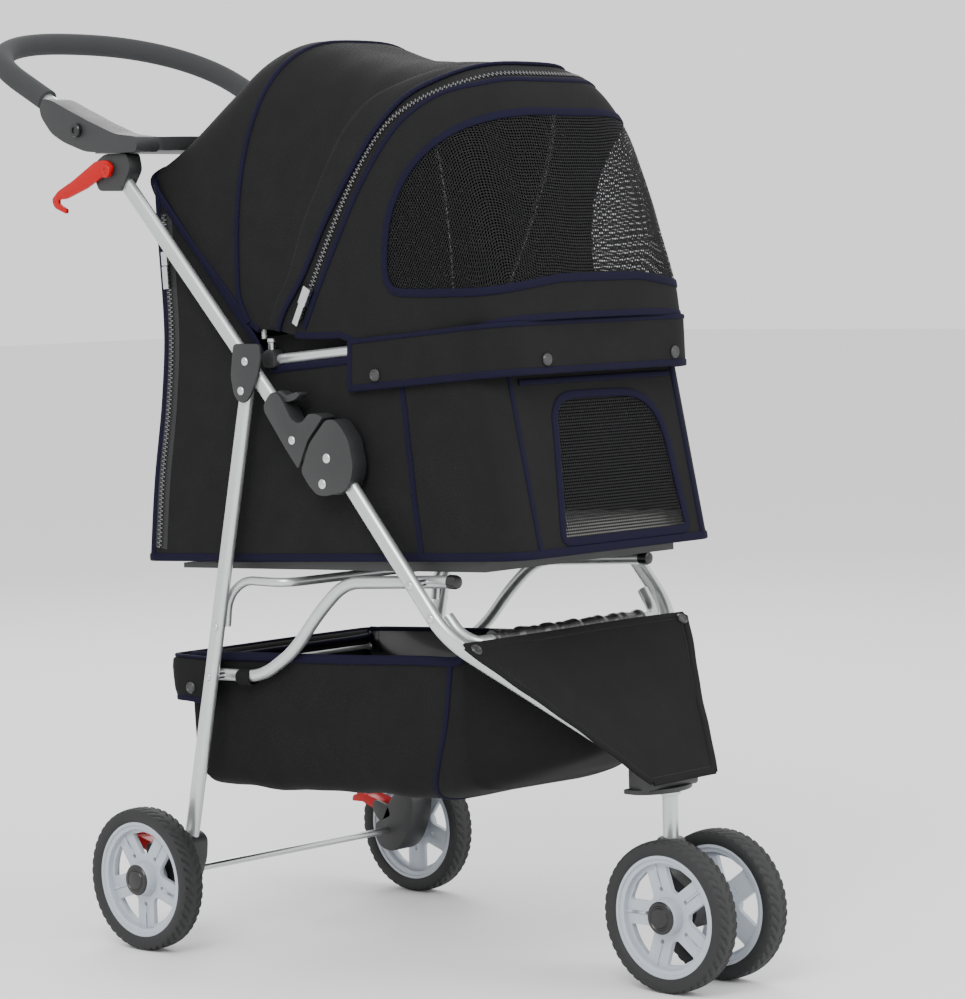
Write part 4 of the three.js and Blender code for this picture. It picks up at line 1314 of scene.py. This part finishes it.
def cabin_ring():
    """The cabin's plan as even (x, q) steps, from the middle of its rear round its right side."""
    deep = CABIN_DEEP
    rounds = []
    for cx, cy, r, start in ((-1, 1, 14, 90), (-1, 0, 26, 180), (1, 0, 26, 270), (1, 1, 14, 0)):
        x0, y0 = cx * (CABIN_HALF - r), r + cy * (deep - 2 * r)
        rounds += [(x0 + r * math.cos(math.radians(start + k * 9)), y0 + r * math.sin(math.radians(start + k * 9)))
                   for k in range(11)]
    corners = [(0, deep), *rounds, (0, deep)]
    steps = spaced([(x, y, 0) for x, y in corners], 4.2)
    return [(0.0, 1.0)] + [(p.x, p.y / deep) for p, _ in steps] + [(0.0, 1.0)]


def keep_part(made, z, above):
    """Cuts a piece level at z and keeps what is above or below."""
    work = bmesh.new()
    work.from_mesh(made.data)
    bmesh.ops.bisect_plane(work, geom=work.verts[:] + work.edges[:] + work.faces[:], plane_co=row((0, 0, z)),
                           plane_no=(0, 0, 1), clear_inner=above, clear_outer=not above)
    work.to_mesh(made.data)
    work.free()


def parted(made, z):
    """Parts a piece level at z and returns its upper part, if it has one."""
    if max(v.co.z for v in made.data.vertices) < (z + 2) * MM:
        return None
    upper = made.copy()
    upper.data = made.data.copy()
    upper.name = made.name + "_upper"
    bpy.context.scene.collection.objects.link(upper)
    keep_part(made, z, False)
    keep_part(upper, z, True)
    return upper


def make_cabin():
    ring = cabin_ring()
    count = len(ring) - 1

    def wall(v, t):
        at = reached(t, count)
        i = int(at)
        (x0, q0), (x1, q1) = ring[i], ring[i + 1]
        share = at - i
        return cabin_wall(x0 + (x1 - x0) * share, q0 + (q1 - q0) * share, v)

    def window(v, t):
        at = reached(t, count)
        if ring[int(at)][1] > 0.2:
            return -60.0
        p = wall(v, t)
        return inside_by(LOWER_WINDOW, p.x, p.z)

    turns = [i / count for i in range(count + 1)]
    cloth, net_piece, binding = windowed("cabin_wall", wall, window, even(0, 1, 72), turns, "canopy cloth",
                                         CABIN_CENTRE)
    trims = [net_piece, binding]
    width = settings().binding_width / MM
    for label, v in (("floor", 0.004), ("top", 0.996)):
        points, normals = traced(wall, [(v, t) for t in turns[:-1]], CABIN_CENTRE)
        trims.append(ribbon(f"cabin_{label}_binding", points, normals, width, 3.6, "edge tape", True))
    for name, s in SIDES:
        edge = s * CABIN_HALF
        for label, q in (("rear", 0.976), ("pocket", 0.24)):
            side = [cabin_wall(edge, q, v) for v in even(0.01, 0.99, 60)]
            out = [Vector((s, 0, 0))] * len(side)
            trims.append(ribbon(f"cabin_{label}_piping_{name}", side, out, width * 0.8, 2.8, "edge tape", lift=0.6))
        seam = [cabin_wall(edge, 0.955, v) + Vector((s * 0.8, 0, 0)) for v in even(0.03, 0.97, 90)]
        out = [Vector((s, 0, 0))] * len(seam)
        trims += zipper(f"cabin_zip_{name}", seam, out)
        at = seam[78]
        trims.append(slider(f"cabin_zip_slider_{name}", at + Vector((s * 1.4, 0, 0)), seam[80] - at, (s, 0, 0)))
    ahead = Vector((0, -1, 0.2))
    for n, x in enumerate((-118, 128)):
        line = [cabin_wall(x, 0.0, v) for v in even(0.01, 0.99, 40)]
        trims.append(ribbon(f"cabin_front_seam_{n + 1}", line, [ahead] * len(line), width * 0.7, 2.6, "edge tape",
                            lift=0.6))
    # The straight piping over the lower window.
    start, end = (cabin_wall(x, 0.0, (z - FLOOR_FRONT) / (cabin_top(0.0) - FLOOR_FRONT)) for x, z in WINDOW_PIPING)
    line = [start.lerp(end, k / 16) for k in range(17)]
    trims.append(ribbon("window_piping_1", line, [ahead] * 17, width * 0.7, 2.6, "edge tape", lift=0.9))
    # The rear wing, above the rim, is parted off and rides on the hood rim.
    wing = parted(cloth, WING_Z)
    wing_trims = [part for part in (parted(piece, WING_Z) for piece in trims) if part]
    for piece in [piece for piece in trims if not piece.data.polygons]:
        trims.remove(piece)
        bpy.data.objects.remove(piece)
    cloth_sheet(cloth, None, ["cabin"])
    cloth_sheet(wing, "hood_rim")
    modify(net_piece, "SOLIDIFY", thickness=NET_THICK * MM, offset=0)
    for piece in [cloth, *trims]:
        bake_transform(piece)
    for piece in wing_trims:
        hold(piece, "hood_rim", "canopy_cloth")
    for piece in [wing, *wing_trims]:
        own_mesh(piece)


def make_floor_pad():
    outline = ((-186, 432), (-172, 455), (290, 437), (318, 425), (320, 414))
    pad = slab("floor_cushion", outline, -140, 140, "fleece", 7, 5)
    hold(pad, "seat", "pad_fleece", "floor_pad")
    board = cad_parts["floor_board"]
    board.data.materials.clear()
    board.data.materials.append(MADE["shell plastic"])


# ------------------------------------------------------------------ hood

SECTIONS = ((166, 656, 304, 820, 150), (159, 653, 240, 906, 150), (150, 650, 167, 947, 151), (122, 649, 60, 925, 152),
            (92, 644, -54, 914, 154), (40, 644, -106, 904, 154.2), (-20, 648, -140, 868, 154.2),
            (-80, 652, -162, 800, 154), (-128, 656, -178, 720, 151), (-150, 659, -184, 664, 145))
FRONT_EDGE = len(SECTIONS) - 1
SECTION_CURVES = [[(i, section[k]) for i, section in enumerate(SECTIONS)] for k in range(5)]
SHOULDERS = ((0, 0.27), (1, 0.5), (2, SHOULDER), (FRONT_EDGE, SHOULDER))
HOOD_CENTRE = Vector((0, 40, 690))
ZIP_LINE = ((0, 3.95), (40, 3.95), (53, 4.25), (65, 4.85), (77, 5.08), (86, 5.2), (94, 5.2))
FLAP_LINE = ((0, 3.1), (4, 3.55), (14, 3.7), (26, 3.8), (41, 3.85), (54, 3.95), (65, 4.2), (76, 4.45), (84, 4.65),
             (92, 4.7))
WINDOW_TOP = ((0, 5.1), (25, 5.1), (35, 5.25), (46, 5.55), (58, 5.85), (72, 6.05), (90, 6.15))


def near_side(a):
    """The angle up from the nearer foot, in degrees."""
    return math.degrees(min(max(min(a, math.pi - a), 0), math.pi / 2))


def hood(s, a, lift=0.0):
    """A point of the hood: s from its rear edge to its front, a over it from foot to foot."""
    s = min(max(s, 0), FRONT_EDGE)
    foot_y, foot_z, apex_y, apex_z, half = (eased(curve, s) for curve in SECTION_CURVES)
    p = arch_point((foot_y, foot_z), (apex_y, apex_z), half, a, eased(SHOULDERS, s))
    taut = math.sin(min(max(a, 0), math.pi)) * abs(math.sin(math.pi * s / 2)) if s < 4 else 0.4
    p += (p - HOOD_CENTRE).normalized() * (ripple(p, 2.2) * taut - 3.5 * taut * (s < 4) + lift)
    if s < 0.9:
        # The rear edge is drawn square into its corners, along the uprights.
        corner = ramp((abs(p.x) - 80) / 52) * ramp((p.z - 656) / 160)
        p.y += 37 * corner * (1 - s / 0.9) ** 2
    return p


def mid_line(a):
    """Where the hood crosses the mid bow."""
    return 2.2 * max(math.sin(a), 0.0) ** 0.31


def between(low, high, lift=None):
    """The hood's surface between two curves, as a function of a share from low to high and the angle."""
    def point(share, a):
        s = low(a) + (high(a) - low(a)) * share
        return hood(s, a, lift(share, a) if lift else 0.0)
    return point


def zip_at(a):
    """Where the curved zip crosses the hood."""
    return eased(ZIP_LINE, near_side(a))


def flap_at(a):
    """Where the flap over the zip ends."""
    return eased(FLAP_LINE, near_side(a))


def piped(name, line, angles, width, thick, lift=0.6):
    """A tape over the hood along a line from foot to foot."""
    points, normals = traced(hood, [(line(a), a) for a in angles], HOOD_CENTRE)
    return ribbon(name, smoothed(points, 2), normals, width, thick, "edge tape", lift=lift)


def bend_hood(pieces):
    """Bakes each piece's place into its mesh."""
    for piece in pieces:
        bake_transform(piece)


def make_hood_top():
    width = settings().binding_width / MM
    angles = even_angles(110)
    rear = grid_cloth("hood_rear_cloth", between(lambda a: 0.0, mid_line), even(0, 1, 26), angles, "canopy cloth")
    trims = [piped("hood_rear_binding", lambda a: 0.04, angles, width, 3.2),
             piped("mid_bow_piping", mid_line, angles, width * 0.75, 3.4, 1.0)]
    for name, side in (("right", 0.0), ("left", math.pi)):
        seam = [(s, side) for s in even(0, 2.0, 16)]
        points, normals = traced(hood, seam, HOOD_CENTRE)
        trims.append(ribbon(f"hood_foot_binding_{name}", points, normals, width * 0.8, 2.6, "edge tape"))
    cloth_sheet(rear, None, ["hood"])
    bend_hood([rear, *trims])

    top = grid_cloth("hood_top_cloth", between(mid_line, zip_at), even(0, 1, 34), angles, "canopy cloth")
    flap = grid_cloth("hood_flap", between(lambda a: flap_at(a) - 0.5, flap_at, lambda share, a: 2.6 * share ** 0.6),
                      even(0, 1, 8), angles, "canopy cloth")
    inner = angles[3:-3]
    points, normals = traced(hood, [(zip_at(a), a) for a in inner], HOOD_CENTRE)
    teeth = zipper("hood_zip", smoothed(points, 3), normals)
    trims = [flap, *teeth]
    points, normals = traced(hood, [(flap_at(a), a) for a in angles], HOOD_CENTRE, 2.6)
    trims.append(ribbon("hood_flap_binding", smoothed(points, 2), normals, width * 0.8, 3.2, "edge tape"))
    centre = hood(zip_at(inner[4]), inner[4], 2)
    ahead = hood(zip_at(inner[8]), inner[8], 2) - centre
    trims.append(slider("hood_zip_slider", centre, ahead, outward(hood, zip_at(0.05), 0.05, HOOD_CENTRE), (20, 11, 7)))
    modify(flap, "SOLIDIFY", thickness=CLOTH_THICK * MM, offset=0)
    cloth_sheet(top, None)
    bend_hood([top, *trims])


def sill(p):
    """The hood's lower edge, drawn down inside the skirt band."""
    ahead = ramp((30 - p.y) / 40)
    p.z -= 15 * ahead * math.exp(-max(p.z - 646, 0) / 22)
    return p


def make_hood_front():
    width = settings().binding_width / MM
    angles = even_angles(150)

    def front(share, a):
        return sill(hood(zip_at(a) + (FRONT_EDGE - zip_at(a)) * share, a))

    def window(share, a):
        s = zip_at(a) + (FRONT_EDGE - zip_at(a)) * share
        p = front(share, a)
        low = eased(((60, 697), (150, 685)), abs(p.x))
        upper = (s - eased(WINDOW_TOP, near_side(a))) * 62
        return least((upper, p.z - low, -33 - p.y))

    cloth, net_piece, binding = windowed("hood_front", front, window, even(0, 1, 76), angles, "canopy cloth",
                                         HOOD_CENTRE)
    trims = [net_piece, binding]
    trims.append(piped("hood_front_piping", lambda a: zip_at(a) + 0.2, angles[2:-2], width * 0.8, 3))
    points, normals = traced(hood, [(8.96, a) for a in angles], HOOD_CENTRE)
    points = [sill(p) for p in points]
    trims.append(ribbon("hood_lip_binding", smoothed(points, 2), normals, width * 0.8, 3, "edge tape"))
    for name, side in (("right", 0.0), ("left", math.pi)):
        points, normals = traced(hood, [(s, side) for s in even(3.95, FRONT_EDGE, 50)], HOOD_CENTRE)
        points = [sill(p) for p in points]
        trims.append(ribbon(f"hood_sill_binding_{name}", points, normals, width * 0.8, 2.8, "edge tape"))
    cloth_sheet(cloth, "hood_rim")
    modify(net_piece, "SOLIDIFY", thickness=NET_THICK * MM, offset=0)
    for piece in trims:
        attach(piece, "hood_rim")
    for piece in [cloth, *trims]:
        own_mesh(piece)


def make_gusset(name, s):
    """The strip of cloth inside the rim tube that closes the gap between the cabin and the hood."""
    def strip(v, t):
        y = 150 - 290 * t
        tube_z = RIM_REAR[1] + (RIM_REAR[0] - y) * (RIM_FRONT[1] - RIM_REAR[1]) / (RIM_REAR[0] - RIM_FRONT[0])
        inward = 1.2 * math.sin(t * 19) * v
        return Vector((s * (140.6 - inward), y, tube_z - 15 + 40 * v))

    cloth = grid_cloth(f"rim_gusset_{name}", strip, even(0, 1, 10), even(0, 1, 60), "canopy cloth")
    cloth_sheet(cloth, "hood_rim")


SKIRT_X, SKIRT_FRONT, SKIRT_END = 156.4, -180.5, 16


def make_skirt():
    for name, s in SIDES:
        make_gusset(name, s)
    path = arc_corners([(-SKIRT_X, SKIRT_END, 0), (-SKIRT_X, SKIRT_FRONT, 0), (SKIRT_X, SKIRT_FRONT, 0),
                        (SKIRT_X, SKIRT_END, 0)], 48, 12)
    inner = smoothed([p for p, _ in spaced(path, CLOTH_STEP)], 1)
    fine = [Vector(path[0]), *inner, Vector(path[-1])]
    last = len(fine) - 1

    def band(v, t):
        at = reached(t, last)
        p = fine[int(at)].lerp(fine[int(at) + 1], at - int(at))
        z = 591 + 48.5 * v - 0.085 * p.y
        flare = (0.5 - v) * 1.6 + 0.7 * math.sin(at / 5.3) * (1 - v)
        return Vector((p.x * (1 + flare / 160), p.y * (1 + flare / 180), z))

    turns = even(0, 1, last)
    cloth = grid_cloth("skirt_cloth", band, even(0, 1, 12), turns, "canopy cloth")
    width = settings().binding_width / MM
    centre = Vector((0, -60, 615))
    trims = []
    for label, v in (("lower", 0.02), ("upper", 0.98)):
        points, normals = traced(band, [(v, t) for t in turns], centre)
        trims.append(ribbon(f"skirt_{label}_binding", points, normals, width * (0.85 if v < 0.5 else 0.6), 3,
                            "edge tape"))
    for label, t in (("right", 0.0), ("left", 1.0)):
        points, normals = traced(band, [(v, abs(t - 0.002)) for v in even(0.02, 0.98, 8)], centre)
        trims.append(ribbon(f"skirt_end_binding_{label}", points, normals, width * 0.8, 2.8, "edge tape"))
    for n, (x, y) in enumerate(((-SKIRT_X, -22), (-80, SKIRT_FRONT), (112, SKIRT_FRONT), (SKIRT_X, -22))):
        i = min(range(len(fine)), key=lambda k: (fine[k].xy - Vector((x, y))).length)
        points, normals = traced(band, [(0.24, i / last)], centre)
        trims.append(snap(f"skirt_snap_{n + 1}", points[0] + normals[0] * 0.9, normals[0]))
    cloth_sheet(cloth, "hood_rim", ["skirt_band"])
    for piece in trims:
        hold(piece, "hood_rim", "canopy_cloth")


# ------------------------------------------------------------------ basket and cape

BASKET = ((-213, 240, 233, 40), (-190, 262, 221, 62), (-160, 290, 208, 88), (-117, 329, 193, 124),
          (-100, 322, 187, 136), (-50, 320, 178, 137), (60, 314, 172, 137), (180, 309, 167, 137),
          (262, 305, 163, 137), (274, 304, 165, 137), (280, 304, 173, 136), (283, 304, 212, 135), (285, 304, 298, 135))
BASKET_CENTRE = Vector((0, 40, 260))
BASKET_REAR = len(BASKET) - 1


def basket(s, a, inset=0.0):
    """A point of the basket sack: s from its front lip to its rear edge, a from rim to rim under it."""
    y, top, low, half = (eased([(i, row_of[k]) for i, row_of in enumerate(BASKET)], s) for k in range(4))
    c, d = math.cos(a), max(math.sin(a), 0)
    square = 0.42 - 0.18 * min(s / 6, 1)  # squarer towards the rear
    x = -half * math.copysign(abs(c) ** square, c)
    z = top - (top - low) * d ** square
    full = d * min(s / 3, 1) * min((BASKET_REAR - s) / 3, 1)
    p = Vector((x, y, z))
    push = ripple(p, 3.2) * full + 1.2 * full - inset
    return p + (p - Vector((0, y, 300))).normalized() * push


def make_basket():
    angles = even_angles(70, 1.25)
    rows = even(0, BASKET_REAR, 96)
    sack = grid_cloth("basket_sack", basket, rows, angles, "basket cloth")
    lining = grid_cloth("basket_lining", lambda s, a: basket(s, a, 2.6), rows, angles, "coated lining")
    width = settings().binding_width / MM
    trims = [lining]
    edges = [(s, 0.0) for s in rows] + [(BASKET_REAR, a) for a in angles[1:-1]] + [(s, math.pi) for s in reversed(rows)]
    edges += [(0.0, a) for a in reversed(angles[1:-1])]
    points = [basket(s, a) for s, a in edges]
    normals = [(p - Vector((0, p.y, 280))).normalized() for p in points]
    trims.append(ribbon("basket_rim_binding", points, normals, width * 1.15, 4.4, "edge tape", True))
    seam = [(4.15 + 0.85 * math.sin(a) ** 0.5, a) for a in angles]
    points, normals = traced(basket, seam, BASKET_CENTRE)
    trims.append(ribbon("basket_front_seam", smoothed(points, 2), normals, width * 0.7, 2.6, "edge tape", lift=0.8))
    trims += basket_straps()
    modify(lining, "SOLIDIFY", thickness=0.8 * MM, offset=0)
    cloth_sheet(sack, "seat", ["basket"])
    for piece in trims:
        hold(piece, "seat", "basket_cloth")
    for piece in [sack, *trims]:
        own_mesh(piece)


def basket_straps():
    """The cloth folded over the seat frame's rear loop, the side loops round its rails, and their snaps."""
    made = []
    path = arc_corners([(-152.5, 234, 0), (-152.5, 304, 0), (152.5, 304, 0), (152.5, 234, 0)], 20, 8)
    fine = [Vector(path[0]), *[p for p, _ in spaced(path, CLOTH_STEP)], Vector(path[-1])]
    last = len(fine) - 1
    fold = [(-17, 286), (-16, 298), (-11, 303), (-3, 304), (1.4, 300), (2.2, 292), (1.6, 280), (0.6, 268), (-2, 258)]

    def wrap(k, i):
        ahead, back = fine[min(i + 1, last)], fine[max(i - 1, 0)]
        tangent = (ahead - back).normalized()
        out = Vector((-tangent.y, tangent.x, 0))
        shift, z = fold[k]
        soft = 0.9 * math.sin(i / 3.1) * (k / 8) ** 2
        low = 3.0 * math.sin(i / 6.3) * (k / 8) ** 3
        return fine[i] + out * (shift + soft) + Vector((0, 0, z + low)), out

    verts = [wrap(k, i)[0] for k in range(len(fold)) for i in range(last + 1)]
    flap = build("basket_rear_fold", verts, grid_faces(len(fold), last + 1), "basket cloth", smooth=CLOTH_SMOOTH)
    modify(flap, "SOLIDIFY", thickness=CLOTH_THICK * MM, offset=0)
    made.append(flap)
    hem = [wrap(len(fold) - 1, i) for i in range(last + 1)]
    made.append(ribbon("basket_fold_binding", [p for p, _ in hem], [n for _, n in hem], 7, 3, "edge tape"))
    top = [wrap(3, i) for i in range(last + 1)]
    made.append(ribbon("basket_fold_piping", [p for p, _ in top], [Vector((0, 0, 1))] * len(top), 6, 2.8,
                       "edge tape", lift=0.8))
    for n, x in enumerate((-100, 0, 100)):
        made.append(snap(f"basket_fold_snap_{n + 1}", (x, 306.2, 274), (0, 1, 0)))
    for name, s in SIDES:
        made.append(snap(f"basket_corner_snap_{name}", (s * 154.8, 266, 273), (s, 0, 0)))
        loop = [(s * 145 + 7.6 * math.cos(a), 190, 288 + 7.6 * math.sin(a)) for a in even(0, 2 * math.pi, 28)[:-1]]
        normals = [(Vector(p) - Vector((s * 145, 190, 288))).normalized() for p in loop]
        made.append(ribbon(f"basket_loop_{name}", loop, normals, 20, 1.4, "basket cloth", True))
    return made


CAPE_TOP_HALF, CAPE_FOOT_HALF = 166, 47


def make_cape():
    top, foot = Vector((0, -142, 341)), Vector((0, -275, 205))
    out = Vector((0, -(top - foot).z, (top - foot).y)).normalized()
    if out.y > 0:
        out = -out

    def cape(v, t):
        base = top.lerp(foot, v)
        half = CAPE_TOP_HALF + (CAPE_FOOT_HALF - CAPE_TOP_HALF) * v
        x = half * (2 * t - 1)
        edge = min(t, 1 - t) * 2
        sag = -3.2 * math.sin(math.pi * v) * min(edge * 2, 1) + ripple((x, base.y * 1.3, base.z), 1.8)
        return Vector((x, base.y, base.z)) + out * (1.6 + sag)

    cloth = grid_cloth("leg_cape_cloth", cape, even(0, 1, 40), even(0, 1, 56), "basket cloth")
    trims = []
    edges = {"top": [(0.0, t) for t in even(0, 1, 56)], "foot": [(1.0, t) for t in even(0, 1, 20)],
             "right": [(v, 0.0) for v in even(0, 1, 40)], "left": [(v, 1.0) for v in even(0, 1, 40)]}
    for label, curve in edges.items():
        points = [cape(u, v) for u, v in curve]
        trims.append(ribbon(f"cape_{label}_hem", points, [out] * len(points), 9, 2.6, "basket cloth"))
        inner = [cape(u * 0.955 + 0.022, v * 0.955 + 0.022) for u, v in curve]
        trims.append(stitches(f"cape_{label}_stitches", inner, [out] * len(inner), 0.9))
    for n, t in enumerate((0.02, 0.98)):
        p = cape(0.03, t)
        trims.append(snap(f"cape_snap_{n + 1}", p + out, out))
    cloth_sheet(cloth, "front_frame",
                ["leg_cape"])
    for piece in trims:
        hold(piece, "front_frame", "basket_cloth")
    line = [(x, -128, 342.5) for x in even(-112, 112, 120)]
    sleeve = tube("front_bar_sleeve", line, circle(1, 26), "coated lining",
                  swell=lambda t: 9.2 + 0.7 * math.sin(t * 39) + 0.5 * math.sin(t * 71 + 1) + 0.25 * math.sin(t * 117))
    hold(sleeve, "front_frame", "basket_cloth")


# ------------------------------------------------------------------ stage

CAMERA_AT = Vector((-2.5912, -2.5508, 0.7281))
CAMERA_TURN, CAMERA_RISE, CAMERA_ROLL = (math.radians(a) for a in (-47.06, 4.17, -1.34))
CAMERA_LENS, SENSOR_WIDTH, FAR_CLIP = 124.5, 36, 60
FLOOR_SIZE, SKY_STRENGTH = 40, 1.3
LIGHT_TARGET = (0, 0, 0.45)
LIGHTS = (("Key", (-2.2, -1.2, 2.6), 1.6, 75), ("Front", (0.8, -2.8, 1.9), 1.8, 40),
          ("Back", (1.8, 2.2, 2.4), 1.6, 40))  # name, place, size and power


def make_camera():
    a, e, r = CAMERA_TURN, CAMERA_RISE, CAMERA_ROLL
    right = Vector((math.cos(a), math.sin(a), 0))
    back = Vector((math.sin(a) * math.cos(e), -math.cos(a) * math.cos(e), math.sin(e)))
    up = back.cross(right)
    across = right * math.cos(r) + up * math.sin(r)
    above = up * math.cos(r) - right * math.sin(r)
    camera = bpy.data.objects.new("Camera", bpy.data.cameras.new("Camera"))
    camera.data.lens = CAMERA_LENS
    camera.data.sensor_width = SENSOR_WIDTH
    camera.data.clip_end = FAR_CLIP
    turn = Matrix((across, above, back)).transposed().to_4x4()
    camera.matrix_world = Matrix.Translation(CAMERA_AT) @ turn
    bpy.context.scene.collection.objects.link(camera)
    bpy.context.scene.camera = camera


def make_light(name, at, size, power):
    lamp = bpy.data.lights.new(name, "AREA")
    lamp.energy = power
    lamp.size = size
    made = bpy.data.objects.new(name, lamp)
    made.location = at
    made.rotation_euler = (Vector(LIGHT_TARGET) - Vector(at)).to_track_quat("-Z", "Y").to_euler()
    bpy.context.scene.collection.objects.link(made)


def make_stage():
    bpy.ops.mesh.primitive_plane_add(size=FLOOR_SIZE, location=(0, 0, 0))
    ground = bpy.context.active_object
    ground.name = "studio_floor"
    ground.data.materials.append(MADE["floor paint"])
    world = bpy.data.worlds.new("Studio")
    world.use_nodes = True
    sky = world.node_tree.nodes["Background"]
    sky.inputs["Color"].default_value = (1, 1, 1, 1)
    sky.inputs["Strength"].default_value = SKY_STRENGTH
    bpy.context.scene.world = world
    for light in LIGHTS:
        make_light(*light)
    make_camera()


# ------------------------------------------------------------------ operators


class STROLLER_OT_materials(bpy.types.Operator):
    """Makes the shared shader groups and every finish"""
    bl_idname = "stroller.materials"
    bl_label = "Materials"
    bl_options = {"REGISTER", "UNDO"}

    def execute(self, context):
        make_materials()
        return {"FINISHED"}


class STROLLER_OT_wheels(bpy.types.Operator):
    """Four solid-tyred wheels and their axles"""
    bl_idname = "stroller.wheels"
    bl_label = "Wheels"
    bl_options = {"REGISTER", "UNDO"}

    def execute(self, context):
        make_wheels()
        return {"FINISHED"}


class STROLLER_OT_caster(bpy.types.Operator):
    """The turning front fork and its stem"""
    bl_idname = "stroller.caster"
    bl_label = "Front caster"
    bl_options = {"REGISTER", "UNDO"}

    def execute(self, context):
        make_caster()
        return {"FINISHED"}


class STROLLER_OT_frame(bpy.types.Operator):
    """The folding tube frame with its rivets and the rear brakes"""
    bl_idname = "stroller.frame"
    bl_label = "Folding frame"
    bl_options = {"REGISTER", "UNDO"}

    def execute(self, context):
        make_front_frame()
        make_rear_frame()
        make_seat_frame()
        make_uprights()
        return {"FINISHED"}


class STROLLER_OT_fold_joint(bpy.types.Operator):
    """The knuckles, latches and hinge plates of the fold"""
    bl_idname = "stroller.fold_joint"
    bl_label = "Fold joints"
    bl_options = {"REGISTER", "UNDO"}

    def execute(self, context):
        make_fold_joint()
        return {"FINISHED"}


class STROLLER_OT_handle(bpy.types.Operator):
    """The handle bar with its foam grip"""
    bl_idname = "stroller.handle"
    bl_label = "Handle"
    bl_options = {"REGISTER", "UNDO"}

    def execute(self, context):
        make_handle()
        return {"FINISHED"}


class STROLLER_OT_tray(bpy.types.Operator):
    """The cup tray, its brackets and the hook that holds the fold shut"""
    bl_idname = "stroller.tray"
    bl_label = "Cup tray"
    bl_options = {"REGISTER", "UNDO"}

    def execute(self, context):
        make_tray()
        return {"FINISHED"}


class STROLLER_OT_bows(bpy.types.Operator):
    """The hood's bows and the rim tube"""
    bl_idname = "stroller.bows"
    bl_label = "Bows and rim"
    bl_options = {"REGISTER", "UNDO"}

    def execute(self, context):
        make_bows()
        return {"FINISHED"}


class STROLLER_OT_cabin(bpy.types.Operator):
    """The cloth cabin with its window, zips and floor pad"""
    bl_idname = "stroller.cabin"
    bl_label = "Cabin"
    bl_options = {"REGISTER", "UNDO"}

    def execute(self, context):
        make_cabin()
        make_floor_pad()
        return {"FINISHED"}


class STROLLER_OT_hood(bpy.types.Operator):
    """The hood's three cloths, its window, flap and zip"""
    bl_idname = "stroller.hood"
    bl_label = "Hood"
    bl_options = {"REGISTER", "UNDO"}

    def execute(self, context):
        make_hood_top()
        make_hood_front()
        return {"FINISHED"}


class STROLLER_OT_skirt(bpy.types.Operator):
    """The skirt band under the hood with its snaps"""
    bl_idname = "stroller.skirt"
    bl_label = "Skirt band"
    bl_options = {"REGISTER", "UNDO"}

    def execute(self, context):
        make_skirt()
        return {"FINISHED"}


class STROLLER_OT_basket(bpy.types.Operator):
    """The storage basket and the cape on the front legs"""
    bl_idname = "stroller.basket"
    bl_label = "Basket and cape"
    bl_options = {"REGISTER", "UNDO"}

    def execute(self, context):
        make_basket()
        make_cape()
        return {"FINISHED"}


class STROLLER_OT_stage(bpy.types.Operator):
    """The floor, the lights and the camera"""
    bl_idname = "stroller.stage"
    bl_label = "Stage"
    bl_options = {"REGISTER", "UNDO"}

    def execute(self, context):
        make_stage()
        return {"FINISHED"}


OPERATORS = (STROLLER_OT_materials, STROLLER_OT_wheels, STROLLER_OT_caster, STROLLER_OT_frame,
             STROLLER_OT_fold_joint, STROLLER_OT_handle, STROLLER_OT_tray, STROLLER_OT_bows, STROLLER_OT_cabin,
             STROLLER_OT_hood, STROLLER_OT_skirt, STROLLER_OT_basket, STROLLER_OT_stage)


class STROLLER_PT_panel(bpy.types.Panel):
    """Lists the stroller's settings and the operators that build it"""
    bl_idname = "STROLLER_PT_panel"
    bl_label = "Pet stroller"
    bl_space_type = "VIEW_3D"
    bl_region_type = "UI"
    bl_category = "Stroller"

    def draw(self, context):
        for name in StrollerSettings.__annotations__:
            self.layout.prop(context.scene.stroller, name)
        for operator in OPERATORS:
            self.layout.operator(operator.bl_idname)


CLASSES = (StrollerSettings, *OPERATORS, STROLLER_PT_panel)


def register():
    for kind in CLASSES:
        bpy.utils.register_class(kind)
    bpy.types.Scene.stroller = PointerProperty(type=StrollerSettings)


def unregister():
    del bpy.types.Scene.stroller
    for kind in reversed(CLASSES):
        bpy.utils.unregister_class(kind)


def main():
    register()
    for operator in OPERATORS:
        area, name = operator.bl_idname.split(".")
        getattr(getattr(bpy.ops, area), name)()
    bpy.context.view_layer.update()


if __name__ == "__main__":
    main()
